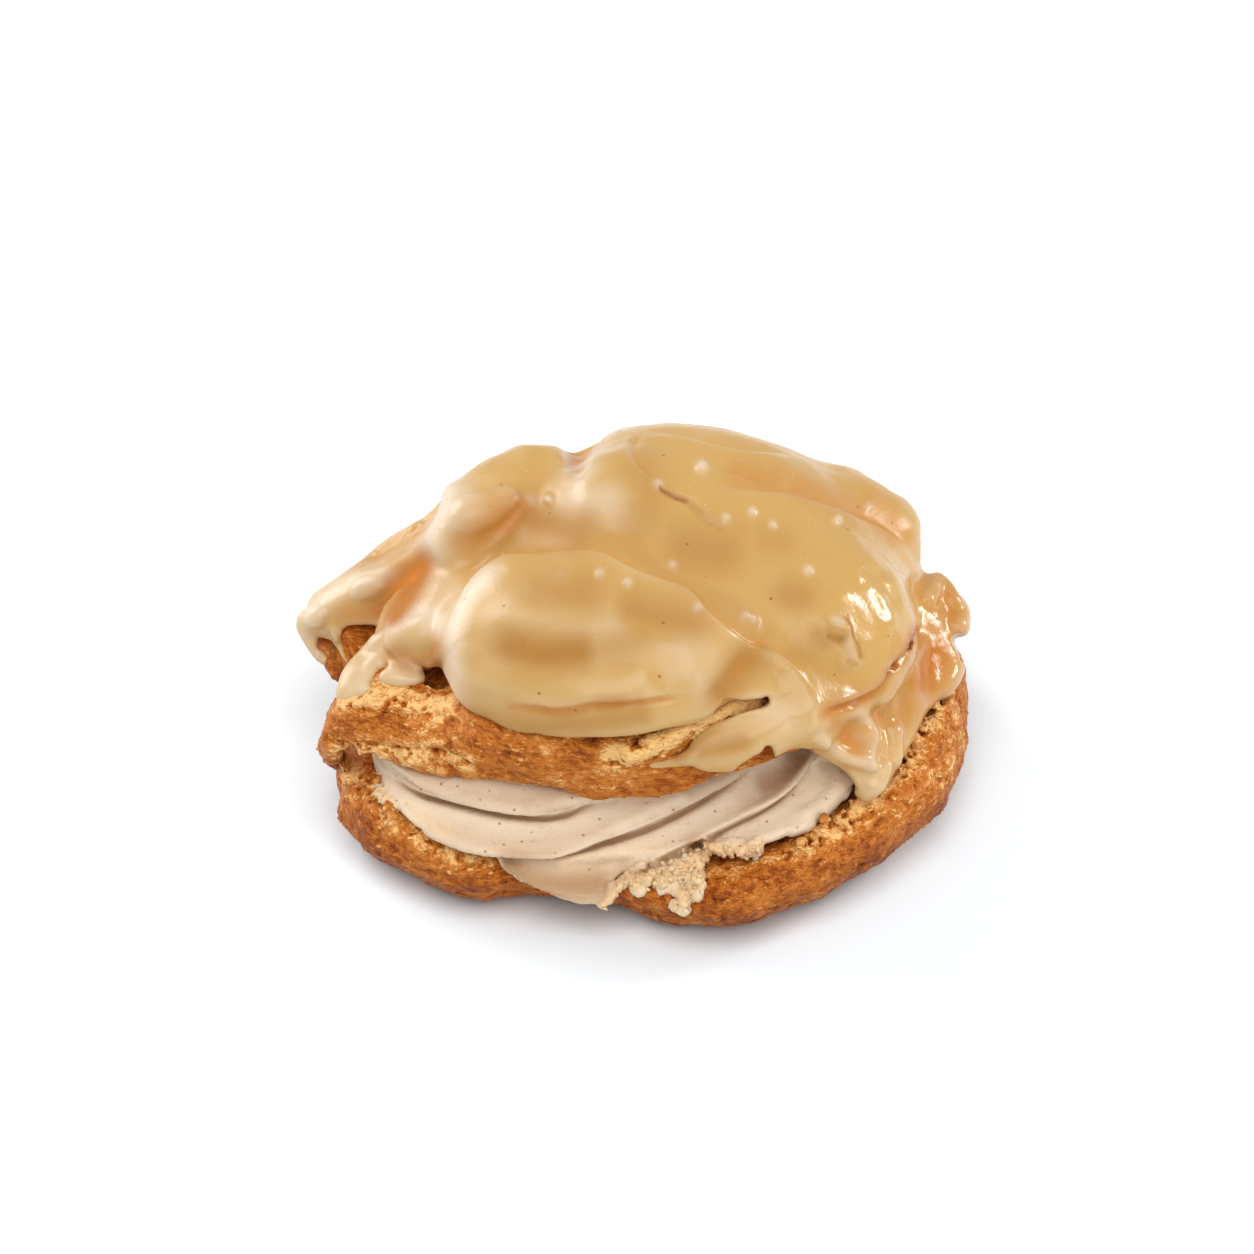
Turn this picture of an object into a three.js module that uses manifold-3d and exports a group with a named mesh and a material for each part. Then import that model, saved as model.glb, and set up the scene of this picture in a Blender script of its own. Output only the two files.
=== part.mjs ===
// A filled choux bun: a baked base, folds of piped cream, a baked lid and a thick caramel icing.
// Millimetres, +Z up. The origin is the middle of the flat underside, and the bun's front faces -Y.
// Angles are in degrees, counterclockwise from +X seen from above, so 270 is the front.

import * as THREE from "three";
import { LoftGeometry } from "three/addons/geometries/LoftGeometry.js";
import { ImprovedNoise } from "three/addons/math/ImprovedNoise.js";
import { mergeVertices } from "three/addons/utils/BufferGeometryUtils.js";
import Module from "manifold-3d";

const wasm = await Module();
wasm.setup();

// Driving dimensions

const GAP = 0.4; // air left between touching pieces
const CRAG_HEIGHT = 1.2; // relief of the baked crust
const CRAG_SIZE = 8.5;
const AXIS_RADIUS = 6; // the small ring that closes a form near the bun's axis

// Every ring has finer steps round the front, from the horn to the drape, than round the plainer back.
const FRONT = { from: 172, to: 388, steps: 58 };
const BACK = { from: 388, to: 532, steps: 20 };

// Base
const BASE_RADIUS = around([
  [0, 57], [14, 58], [45, 55], [90, 53], [135, 53], [180, 54], [198, 58], [212, 61], [225, 61],
  [237, 59.5], [248, 53], [261, 52], [270, 55], [282, 59.5], [297, 58.5], [312, 57.5], [331, 58], [346, 57],
]);
const BASE_CREST = around([
  [0, 17.5], [60, 17], [120, 16], [180, 15], [212, 15], [240, 12], [262, 10], [285, 12.5], [320, 15.5],
]);
const BULGE_HEIGHT = 8; // where the base is widest
const DISH_FLOOR = 9; // the hollow of the base that holds the cream

// Lid
const LID_EDGE_RADIUS = around([
  [20, 42], [60, 43], [100, 44], [140, 46], [166, 50], [177, 56.5], [186, 53.5], [193, 53.5], [199, 58],
  [206, 62], [212, 60.5], [219, 55.5], [228, 53], [236, 49.5], [250, 46.5], [262, 47.5], [281, 46],
  [301, 45.5], [320, 43],
]);
const LID_EDGE_HEIGHT = around([
  [20, 26], [100, 25], [140, 24], [168, 20], [177, 19], [190, 21.5], [212, 21], [236, 23], [262, 23],
  [281, 25], [301, 27], [340, 27],
]);
const LEDGE_RADIUS = around([
  [20, 42], [90, 41], [140, 43], [166, 46], [177, 53], [186, 49], [193, 49.5], [199, 55], [206, 60],
  [213, 53], [222, 49], [247, 48.5], [262, 45], [284, 41], [295, 41], [308, 43], [345, 42],
]);
const LEDGE_HEIGHT = around([
  [20, 31], [140, 31], [170, 26], [190, 27], [206, 30], [222, 32], [247, 34.5], [284, 37], [295, 36],
  [308, 31], [345, 30],
]);
const LEDGE_WIDTH = 3.5;

// Each fold of cream: the radius and height of its crisp edge, from the lowest fold up.
const CREAM_FOLDS = [
  {
    radius: around([
      [20, 47], [100, 46], [180, 48], [225, 52], [252, 56.5], [261, 55.5], [270, 50], [298, 50.2], [314, 47.7],
      [330, 46],
    ]),
    height: around([
      [20, 15], [180, 15], [225, 13], [245, 10.5], [261, 7.5], [270, 10.5], [284, 13], [306, 15], [325, 17],
    ]),
  },
  {
    radius: around([
      [20, 46], [100, 46], [200, 52], [223, 57.5], [247, 56], [257, 51], [268, 49], [284, 46.5], [305, 44.5],
      [325, 43],
    ]),
    height: around([
      [20, 18], [180, 17], [213, 15], [247, 13.6], [268, 13], [284, 14.5], [298, 17], [310, 21], [325, 22],
    ]),
  },
  {
    radius: around([
      [20, 44], [100, 45], [200, 53], [223, 57], [241, 55.5], [256, 49.7], [272, 43], [294, 40.5], [320, 40],
    ]),
    height: around([
      [20, 21], [180, 18.6], [223, 15], [247, 14.8], [256, 15.5], [272, 18.5], [294, 22.3], [310, 23.5],
      [340, 22.5],
    ]),
  },
  {
    radius: around([
      [20, 40], [100, 43], [190, 51], [217, 55.5], [236, 51], [251, 47], [262, 43], [290, 38], [320, 37],
    ]),
    height: around([
      [20, 25], [180, 21], [227, 19.7], [244, 19.3], [256, 21.5], [272, 24], [300, 26.5], [340, 26.5],
    ]),
  },
];
const CREAM_TOP = 33; // inside the lid, which cuts the cream off lower down
const FOLD_UNDERCUT = 2.6; // how far the groove under a fold goes in
const FOLD_LIP = 1.3; // thickness of a fold's edge
const FOLD_HOLLOW = 0.4; // how far the face between two folds sags inwards

// Icing
const HEART_HEIGHT = 24; // every ray of the icing's dome starts on the axis at this height
const APEX_ELEVATION = 85;
const ICING_RINGS = 18;
const ICING_THICKNESS = 4; // least thickness of the icing over the lid
const ICING_BLEND = 1.1; // how softly one swell of icing runs into the next
const LIP = { drop: 2.2, roll: 2.4, tuck: 9 }; // the icing's rolled edge
const LIP_ELEVATION = around([
  [20, 7], [50, 9], [80, 5], [110, 9], [140, 6], [165, 5], [178, 1.5], [190, 4], [203, 12], [216, 13.5],
  [226, 12], [240, 12.5], [262, 16.5], [284, 20], [292, 17], [303, 8], [318, 7], [340, 7.5],
]);

// Swells of icing: middle, half sizes, turn about +Z and tilt about the turned Y axis.
const DOME = { at: [4, 1, 27], half: [42, 42, 31.5] };
const ICING_SWELLS = {
  dome: DOME,
  crown: { at: [-6, 0, 46], half: [15, 16, 14] },
  rearLeftShoulder: { at: [-21, 9, 35], half: [24, 19, 19.3], turn: 10 },
  knob: { at: [-30, 0, 45], half: [8, 7.5, 7] },
  horn: { at: [-42, 7, 31], half: [21, 11, 10.5], turn: 10, tilt: -27 },
  leftShoulder: { at: [-31, -10, 33], half: [17, 15, 11], turn: 20 },
  frontLobe: { at: [-7, -26, 39.5], half: [29, 22, 17], turn: -13 },
  frontRightLobe: { at: [18, -29, 33], half: [17, 14, 10], turn: -20 },
  rightShoulder: { at: [19, -12, 33], half: [27, 25, 20] },
  rearRightShoulder: { at: [27, 14, 32], half: [22, 20, 15.5], turn: 20 },
  rearShoulder: { at: [2, 22, 30], half: [30, 22, 16] },
};

// A tongue of icing that has run down from the front lobe's right end and lies on the lid's band.
const TONGUE = { at: [18.5, -39, 33.5], half: [16, 6, 5.4], turn: 22, tilt: -10 };

// The sheet of icing that has slipped off the right of the lid, over the cream and onto the base.
const DRAPE = { from: 306, to: 380, steps: 22, thickness: 3.2, pleat: 1.1, pleats: 14 };
const DRAPE_TOP = { radius: 41, height: 32 };
const DRAPE_EDGE_RADIUS = around([
  [306, 47], [316, 51.5], [328, 50], [344, 50], [352, 54], [368, 55.5], [376, 53],
]);
const DRAPE_EDGE_HEIGHT = around([
  [306, 22], [316, 16.5], [328, 16.5], [344, 18.5], [352, 18.5], [368, 20.5], [376, 26],
]);

const MATERIALS = {
  choux: new THREE.MeshStandardMaterial({ color: 0xc98442, roughness: 0.75, metalness: 0 }),
  cream: new THREE.MeshStandardMaterial({ color: 0xe6cdb2, roughness: 0.6, metalness: 0 }),
  icing: new THREE.MeshStandardMaterial({ color: 0xd9ae6c, roughness: 0.25, metalness: 0 }),
};

// Shared helpers

const { degToRad, lerp } = THREE.MathUtils;
const noise = new ImprovedNoise();

// A value keyed at a few angles and smooth all the way round.
function around(keys) {
  const count = keys.length;
  const key = (i) => {
    const turns = Math.floor(i / count);
    const [angle, value] = keys[i - turns * count];
    return [angle + 360 * turns, value];
  };
  const slope = (i) => (key(i + 1)[1] - key(i - 1)[1]) / (key(i + 1)[0] - key(i - 1)[0]);
  return (angle) => {
    const first = keys[0][0];
    const turned = first + THREE.MathUtils.euclideanModulo(angle - first, 360);
    const i = keys.findLastIndex(([keyed]) => keyed <= turned);
    const [from, start] = key(i);
    const [to, end] = key(i + 1);
    const span = to - from;
    const t = (turned - from) / span;
    const rise = t * t * (3 - 2 * t);
    const pull = t * (1 - t) * ((1 - t) * slope(i) - t * slope(i + 1)) * span;
    return start + (end - start) * rise + pull;
  };
}

// Evenly spaced values from a start up to, but not including, an end.
function spread({ from, to, steps }) {
  return Array.from({ length: steps }, (_, i) => lerp(from, to, i / steps));
}

// A point at an angle, a radius and a height.
function polar(angle, radius, height) {
  const turn = degToRad(angle);
  return new THREE.Vector3(radius * Math.cos(turn), radius * Math.sin(turn), height);
}

// One ring of a loft: place(angle) gives its point at each angle.
function ring(place) {
  return [...spread(FRONT), ...spread(BACK)].map(place);
}

// Pushes a point of crust in or out from the axis by the crust's crags.
function cragged(point) {
  const coarse = point.clone().divideScalar(CRAG_SIZE);
  const fine = coarse.clone().multiplyScalar(2.2);
  const crag = noise.noise(coarse.x, coarse.y, coarse.z) + 0.6 * noise.noise(fine.x, fine.y, fine.z);
  const push = 1 + (CRAG_HEIGHT * crag) / Math.hypot(point.x, point.y);
  return new THREE.Vector3(point.x * push, point.y * push, point.z);
}

// Only a geometry's positions, with its seams merged.
function welded({ index, attributes }) {
  const bare = new THREE.BufferGeometry().setIndex(index).setAttribute("position", attributes.position);
  return mergeVertices(bare, 1e-3);
}

// A loft with both ends capped. So that the caps face out, the first section lies lower than the second,
// and the last one higher than the one before.
function closedLoft(sections) {
  return welded(new LoftGeometry(sections, { capStart: true, capEnd: true }));
}

// A copy of a geometry with its surface moved out.
function grown(geometry, by) {
  const shell = geometry.clone();
  shell.computeVertexNormals();
  const { position, normal } = shell.attributes;
  const point = new THREE.Vector3();
  const out = new THREE.Vector3();
  for (let i = 0; i < position.count; i += 1) {
    point.fromBufferAttribute(position, i).addScaledVector(out.fromBufferAttribute(normal, i), by);
    position.setXYZ(i, point.x, point.y, point.z);
  }
  return shell;
}

function solid(geometry) {
  return new wasm.Manifold(
    new wasm.Mesh({
      numProp: 3,
      vertProperties: new Float32Array(geometry.attributes.position.array),
      triVerts: new Uint32Array(geometry.index.array),
    }),
  );
}

// The largest body of a solid: cutting can leave loose scraps.
function largest(shape) {
  return shape.decompose().reduce((best, body) => (body.volume() > best.volume() ? body : best));
}

function piece(name, shape, material) {
  const { vertProperties, triVerts } = shape.getMesh();
  const geometry = new THREE.BufferGeometry()
    .setAttribute("position", new THREE.BufferAttribute(vertProperties, 3))
    .setIndex(new THREE.BufferAttribute(triVerts, 1));
  const mesh = new THREE.Mesh(geometry, material);
  mesh.name = name;
  return mesh;
}

// Base: a shallow dish of crust on a flat underside

function baseForm() {
  // From the foot up the wall, over the crest and down into the dish.
  const profile = [
    { share: 0.6, height: () => 0 },
    { share: 0.82, height: () => 0.9 },
    { share: 0.94, height: () => 3.2 },
    { share: 1, height: () => BULGE_HEIGHT },
    { share: 0.985, height: (crest) => lerp(BULGE_HEIGHT, crest, 0.6) },
    { share: 0.94, height: (crest) => crest },
    { share: 0.87, height: (crest) => crest - 0.6 },
    { share: 0.78, height: (crest) => lerp(DISH_FLOOR, crest, 0.45) },
    { share: 0.6, height: () => DISH_FLOOR },
    { share: 0.1, height: () => DISH_FLOOR + 0.6 },
  ];
  return closedLoft(
    profile.map(({ share, height }) =>
      ring((angle) => cragged(polar(angle, share * BASE_RADIUS(angle), height(BASE_CREST(angle))))),
    ),
  );
}

// Cream: folds lying on each other like shingles, from inside the base to inside the lid

// The rings of a fold's edge, from the groove under it to its top.
function foldEdge({ radius, height }) {
  const at = (inset, lift) => ring((angle) => polar(angle, radius(angle) - inset, height(angle) + lift));
  return [at(FOLD_UNDERCUT, -0.2), at(0, 0.2), at(0.4, FOLD_LIP)];
}

// The ring that hollows the face from one fold's edge up to the groove under the next.
function foldFace(below, above) {
  return ring((angle) => {
    const radius = lerp(below.radius(angle), above.radius(angle) - FOLD_UNDERCUT, 0.5);
    const height = lerp(below.height(angle) + FOLD_LIP, above.height(angle), 0.42);
    return polar(angle, radius - FOLD_HOLLOW, height);
  });
}

function creamForm() {
  const folds = CREAM_FOLDS.flatMap((fold, i) => {
    const above = CREAM_FOLDS[i + 1];
    return above ? [...foldEdge(fold), foldFace(fold, above)] : foldEdge(fold);
  });
  return closedLoft([
    ring((angle) => polar(angle, AXIS_RADIUS, DISH_FLOOR - 1)),
    ring((angle) => polar(angle, 43, DISH_FLOOR + 0.5)),
    ...folds,
    ring((angle) => polar(angle, LID_EDGE_RADIUS(angle) - 9, LID_EDGE_HEIGHT(angle) + 4)),
    ring((angle) => polar(angle, AXIS_RADIUS, CREAM_TOP)),
  ]);
}

// Icing: a dome of swells that run into each other, a tongue and a drape

// The matrix that makes a unit ball into a swell.
function placed({ at, half, turn = 0, tilt = 0 }) {
  const turned = new THREE.Euler(0, degToRad(tilt), degToRad(turn), "ZYX");
  return new THREE.Matrix4().compose(
    new THREE.Vector3(...at),
    new THREE.Quaternion().setFromEuler(turned),
    new THREE.Vector3(...half),
  );
}

const heart = new THREE.Vector3(0, 0, HEART_HEIGHT);
const allSwells = Object.values(ICING_SWELLS);

// How far a ray from the heart runs before it leaves a swell, or nothing if it misses.
function exit(direction, swell) {
  const toBall = placed(swell).invert();
  const start = heart.clone().applyMatrix4(toBall);
  const step = heart.clone().add(direction).applyMatrix4(toBall).sub(start);
  const a = step.lengthSq();
  const b = start.dot(step);
  const inside = b * b - a * (start.lengthSq() - 1);
  return inside > 0 ? (Math.sqrt(inside) - b) / a : undefined;
}

// How far some swells reach together from the heart: the furthest exit, with the seams blended.
function reach(direction, swells) {
  const exits = swells.map((swell) => exit(direction, swell)).filter((distance) => distance !== undefined);
  const sum = exits.reduce((total, distance) => total + Math.exp(distance / ICING_BLEND), 0);
  return ICING_BLEND * Math.log(sum);
}

// A point at an angle and an elevation, sunk below the surface of some swells.
function domePoint(angle, elevation, sunk = 0, swells = allSwells) {
  const rise = degToRad(elevation);
  const direction = polar(angle, Math.cos(rise), Math.sin(rise));
  return heart.clone().addScaledVector(direction, reach(direction, swells) - sunk);
}

// A ring of the dome, at a share of the way from the icing's lip to its apex.
function domeRing(share, sunk, swells) {
  return ring((angle) => domePoint(angle, lerp(LIP_ELEVATION(angle), APEX_ELEVATION, share), sunk, swells));
}

function domeForm() {
  const root = ring((angle) => polar(angle, AXIS_RADIUS, HEART_HEIGHT + 4));
  const tuck = ring((angle) => domePoint(angle, LIP_ELEVATION(angle) + 1, LIP.tuck));
  const underside = ring((angle) => domePoint(angle, LIP_ELEVATION(angle) - LIP.drop, LIP.roll));
  const shares = Array.from({ length: ICING_RINGS }, (_, i) => i / (ICING_RINGS - 1));
  return closedLoft([root, tuck, underside, ...shares.map((share) => domeRing(share))]);
}

function tongueForm() {
  return welded(new THREE.SphereGeometry(1, 20, 10).applyMatrix4(placed(TONGUE)));
}

function drapeForm() {
  const { thickness, pleat, pleats } = DRAPE;
  const section = (angle) => {
    const wave = pleat * Math.sin(degToRad(angle * pleats));
    // A point a share of the way down the sheet, and out from its middle along its slant.
    const along = (share, out) =>
      polar(
        angle,
        lerp(DRAPE_TOP.radius, DRAPE_EDGE_RADIUS(angle), share) + out * Math.SQRT1_2,
        lerp(DRAPE_TOP.height, DRAPE_EDGE_HEIGHT(angle), share) + out * Math.SQRT1_2,
      );
    return [
      along(0, thickness),
      along(0.35, thickness + wave),
      along(0.7, thickness + wave),
      along(0.95, 0.8 * thickness),
      along(1.04, 0),
      along(0.95, -0.6 * thickness),
      along(0.5, -thickness),
      along(0, -thickness),
    ];
  };
  return closedLoft(spread(DRAPE).map(section));
}

// Lid: a craggy band of crust with a domed top under the icing

function lidForm() {
  const edge = (inset, lift) =>
    ring((angle) => cragged(polar(angle, LID_EDGE_RADIUS(angle) - inset, LID_EDGE_HEIGHT(angle) + lift)));
  const band = (share, out) =>
    ring((angle) => {
      const radius = lerp(LID_EDGE_RADIUS(angle), LEDGE_RADIUS(angle), share) + out;
      return cragged(polar(angle, radius, lerp(LID_EDGE_HEIGHT(angle), LEDGE_HEIGHT(angle), share)));
    });
  const ledge = ring((angle) => {
    const under = domePoint(angle, LIP_ELEVATION(angle) + 2, ICING_THICKNESS);
    const radius = Math.min(Math.hypot(under.x, under.y), LEDGE_RADIUS(angle) - LEDGE_WIDTH);
    return polar(angle, radius, Math.max(under.z, LEDGE_HEIGHT(angle)) + 0.4);
  });
  return closedLoft([
    ring((angle) => polar(angle, AXIS_RADIUS, LID_EDGE_HEIGHT(100))),
    ...[edge(14, 1.8), edge(6, 0.6), edge(1.2, 0)],
    ...[band(0.15, 0.6), band(0.5, 1.1), band(0.85, 0.6), band(1, -0.8), ledge],
    ...[0.15, 0.35, 0.63, 0.95].map((share) => domeRing(share, ICING_THICKNESS, [DOME])),
  ]);
}

// Assembly: each piece is cut back from its neighbours by the gap

const baseGeometry = baseForm();
const lidGeometry = lidForm();
const creamGeometry = creamForm();
const roomForBase = solid(grown(baseGeometry, GAP));
const roomForLid = solid(grown(lidGeometry, GAP));
const roomForCream = solid(grown(creamGeometry, GAP));

const cream = solid(creamGeometry).subtract(roomForBase).subtract(roomForLid);
const icing = solid(domeForm())
  .add(solid(drapeForm()))
  .add(solid(tongueForm()))
  .subtract(roomForLid)
  .subtract(roomForCream)
  .subtract(roomForBase);

const creamPuff = new THREE.Group();
creamPuff.add(
  piece("choux_base", solid(baseGeometry), MATERIALS.choux),
  piece("cream", largest(cream), MATERIALS.cream),
  piece("choux_lid", solid(lidGeometry), MATERIALS.choux),
  piece("icing", largest(icing), MATERIALS.icing),
);

export default creamPuff;
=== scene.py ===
"""Looks of a cream puff: two halves of choux, a folded cream filling and a poured caramel icing."""

import math
from collections import namedtuple

import bmesh
import bpy
import numpy as np
from bpy.props import FloatProperty, FloatVectorProperty, PointerProperty
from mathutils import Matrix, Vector, noise
from mathutils.bvhtree import BVHTree
from mathutils.kdtree import KDTree


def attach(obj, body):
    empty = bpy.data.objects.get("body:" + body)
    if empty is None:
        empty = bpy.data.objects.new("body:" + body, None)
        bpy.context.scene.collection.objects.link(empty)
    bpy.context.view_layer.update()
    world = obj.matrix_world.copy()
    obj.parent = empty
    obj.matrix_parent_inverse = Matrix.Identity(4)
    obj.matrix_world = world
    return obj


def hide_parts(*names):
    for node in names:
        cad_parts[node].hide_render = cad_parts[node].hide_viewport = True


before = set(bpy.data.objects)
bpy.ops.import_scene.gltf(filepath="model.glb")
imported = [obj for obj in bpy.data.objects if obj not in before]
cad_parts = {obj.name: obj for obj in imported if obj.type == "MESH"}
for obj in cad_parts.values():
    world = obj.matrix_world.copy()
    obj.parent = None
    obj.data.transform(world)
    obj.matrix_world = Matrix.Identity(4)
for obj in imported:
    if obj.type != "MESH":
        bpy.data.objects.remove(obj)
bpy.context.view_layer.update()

bl_info = {
    "name": "Cream puff",
    "version": (1, 0, 0),
    "blender": (4, 5, 0),
    "location": "3D View > Sidebar > Cream puff",
    "description": "Works the plain solids of a cream puff into choux, cream and icing",
    "category": "Object",
}

MM = 0.001
NOISE_SEED = 11

# The most triangles that each worked piece may have.
TRIANGLES = {
    "choux_base_crust": 165000,
    "choux_lid_crust": 120000,
    "cream_filling": 160000,
    "icing_coat": 192000,
}

# The photo camera, in millimetres: it looks along +Y and down at the middle of the puff.
PHOTO_SIZE = 1254
CAMERA_TILT = math.radians(35.0)
CAMERA_DISTANCE = 700.0
CAMERA_TARGET = Vector((-4.0, 0.0, 26.5))
CAMERA_SENSOR = 36.0
CAMERA_LENS = 113.94
CAMERA_UP = Vector((0.0, math.sin(CAMERA_TILT), math.cos(CAMERA_TILT)))
CAMERA_BACK = Vector((0.0, -math.cos(CAMERA_TILT), math.sin(CAMERA_TILT)))
CAMERA_PLACE = CAMERA_TARGET + CAMERA_DISTANCE * CAMERA_BACK
PIXELS_PER_MM = CAMERA_LENS / CAMERA_SENSOR * PHOTO_SIZE / CAMERA_DISTANCE

# Distances between the points of passing forms, in millimetres.
SOLID_GRAIN = 0.8
STRAND_GRAIN = 0.6
CREAM_STRAND_GRAIN = 0.5
SCOOP_GRAIN = 0.3

# Steps along a drawn line in the photo's pixels, and how many of its widths away a line still acts.
LINE_STEP = 2.0
SCOOP_STEP = 3.0
LINE_REACH = 3.0

# Towards its ends, as shares of its length, a fold fades out.
LINE_END = (-0.05, 0.2)

# A skin gives way to drawn lines where it faces the photo camera, down to a slope just past side-on, and
# where no more than a few millimetres of the same form lie before it.
SIDE_ON = 0.25
BURIED_NEAR = 1.5
BURIED_FAR = 4.0

# Smoothing draws each point towards its neighbours by the first share and puts it back by the second.
PULL = 0.5
PUSH = 0.52

# Rounds of smoothing that the directions of a settled skin and the edges of its far side get.
SETTLE_ROUNDS = 10
AWAY_ROUNDS = 30

# How steep the step of a fold is, how fast its lip and its dip fade, and how wide the painted shadow on its
# sunken side is, against the fold's width.
FOLD_STEP = 12.0
LIP_FADE = 0.6
DIP_FADE = 2.0
CREASE_WIDTH = 0.3

# A skin is covered where another form lies within the reach and no further below it than the slack, both in
# millimetres, but for the outer rows of such a place.
COVER_REACH = 1.2
COVER_SLACK = 0.4
COVER_ROWS = 6

# How readily shown and covered points give way when faces are thinned out.
SHOWN_WEIGHT = 0.02
COVERED_WEIGHT = 1.0
THIN_FACTOR = 40.0

# The crust of the choux: sizes of its features in millimetres, how far they are bent aside and how much
# flatter than wide they are, then the sizes of its far patches of torn crumb and of its patches of flakes.
BEND_SIZE = 4.0
LUMP_SIZE = 7.5
WRINKLE_SIZE = 3.4
FLAKE_SIZE = 1.3
PORE_SIZE = 1.7
PORE_PATCH_SIZE = 2.7
CRUST_BEND = 2.2
PORE_BEND = 1.6
CRUST_FLATNESS = 1.7
TORN_PATCH_SIZE = 11.0
FLAKE_PATCH_SIZE = 6.0

# Soft noise on a skin: size of its features and height, in millimetres. The lid's noise is shifted, so that
# the halves differ.
Relief = namedtuple("Relief", "size octaves height")
CHOUX_FAR_SIDE = Relief(12.0, 2, 0.8)
LID_NOISE_SHIFT = np.array([57.0, 13.0, 0.0])
CREAM_GRAIN = Relief(3.0, 2, 0.08)
CREAM_TORN_GRAIN = Relief(1.5, 2, 0.55)
ICING_WAVES = Relief(9.0, 2, 0.25)
ICING_RIPPLES = Relief(4.4, 2, 0.25)
ICING_FAR_SIDE = Relief(14.0, 2, 1.1)

# Broad stains on the far side of the icing: their size, their share of paint and the shifts of their noise.
FAR_STAIN_SIZE = 16.0
FAR_STAIN_SHARE = 0.32
FAR_STAIN_SHIFTS = {"shade": 40.0, "pale": -40.0}

# The piped layers on the far side of the cream, in millimetres, with their waver and the width of the painted
# shadow in their creases, in layers.
LAYER_PITCH = 4.2
LAYER_HEIGHT = 1.1
LAYER_SINK = 0.3
LAYER_WAVER = Relief(20.0, 1, 0.5)
LAYER_CREASE = 0.12

# Strewn grains. A shape's width, height, bend and roughness are given against a length of 1. The number per
# square millimetre holds where the skin is strewn most. Lengths are in millimetres and turns in radians. Each
# grain gets a tint between least and most.
GrainShape = namedtuple("GrainShape", "width height bend rough seed")
Grains = namedtuple("Grains", "shapes per_area smallest largest lean turn least most seed")
FLAKES = Grains(
    [GrainShape(0.34, 0.3, 0.0, 0.04, 5), GrainShape(0.4, 0.25, 0.5, 0.06, 6),
     GrainShape(0.55, 0.25, 0.2, 0.1, 7)],
    per_area=1.2, smallest=0.6, largest=1.6, lean=0.3, turn=0.9, least=-0.1, most=0.32, seed=8)
CRUMBS = Grains(
    [GrainShape(0.8, 0.6, 0.0, 0.25, 1), GrainShape(0.6, 0.5, 0.6, 0.2, 2),
     GrainShape(0.9, 0.7, 0.0, 0.3, 3)],
    per_area=0.9, smallest=0.5, largest=1.3, lean=0.9, turn=math.pi, least=0.0, most=0.0, seed=4)
# The bubbles' tints are painted highlights.
BUBBLES = Grains(
    [GrainShape(0.9, 0.7, 0.0, 0.0, 1), GrainShape(0.6, 0.5, 0.0, 0.0, 2)],
    per_area=0.03, smallest=0.2, largest=0.5, lean=0.1, turn=math.pi, least=0.4, most=0.8, seed=6)

# Lights: places and sizes in metres, power in watts.
SoftBox = namedtuple("SoftBox", "place size power")
SOFTBOXES = {
    "left softbox": SoftBox((-0.57, 0.40, 0.36), 0.65, 4.2),
    "right softbox": SoftBox((0.64, 0.27, 0.30), 0.19, 2.0),
    "top softbox": SoftBox((0.0, -0.60, 1.05), 1.24, 10.5),
    "front softbox": SoftBox((0.62, -0.62, 0.30), 0.56, 1.3),
}
LIGHT_TARGET = Vector((0.0, 0.0, 0.03))
WORLD_STRENGTH = 0.39

# A line drawn on the photo, in its pixels, and what it does to the skin below it, in millimetres.
# A stroke lifts the skin along the line by height, or presses it where height is less than nothing. A single
# pixel makes a round rise. Where strokes paint the skin, height is the share of the paint.
# A fold lifts the skin on the right-hand side of the line by lip and sinks the other side by dip.
# A strand is a run of balls, with a radius at its start and at its end, that stands out by lift.
# A scoop is bored along the line of sight, with such radii, to a depth.
# A crumble is a row of small lumps of mixed radius, strewn to both sides of the line by spread.
# A nudge shifts the whole form near the line, its far side too, to the right and down as the camera sees it.
Stroke = namedtuple("Stroke", "pixels width height")
Fold = namedtuple("Fold", "pixels width lip dip")
Strand = namedtuple("Strand", "pixels start end lift")
Scoop = namedtuple("Scoop", "pixels start end depth")
Crumble = namedtuple("Crumble", "pixels smallest largest spread count")
Nudge = namedtuple("Nudge", "pixels width right down")

# What a drawn line reaches: the points' numbers, how far they lie to the line's right and from it, and from 0
# to 1 how near they are, how well the photo camera sees them and how far they are from the line's ends.
Touch = namedtuple("Touch", "points across distances near share ends")

TOP_NUDGES = {
    "slope behind the horn": Nudge([(335, 570), (375, 538), (412, 510), (446, 478)], 4.5, 1.2, 1.5),
    "kink under the knob": Nudge([(418, 508), (424, 502)], 1.8, 0.7, 0.8),
    "notch beside the crown": Nudge([(578, 442), (596, 436)], 2.6, 0.0, 1.7),
    "rear right": Nudge([(905, 502), (914, 524)], 2.4, 0.9, -0.6),
}

BASE_NUDGES = {"lower left": Nudge([(350, 835), (375, 852)], 4.5, -1.1, 1.0)}

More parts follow.
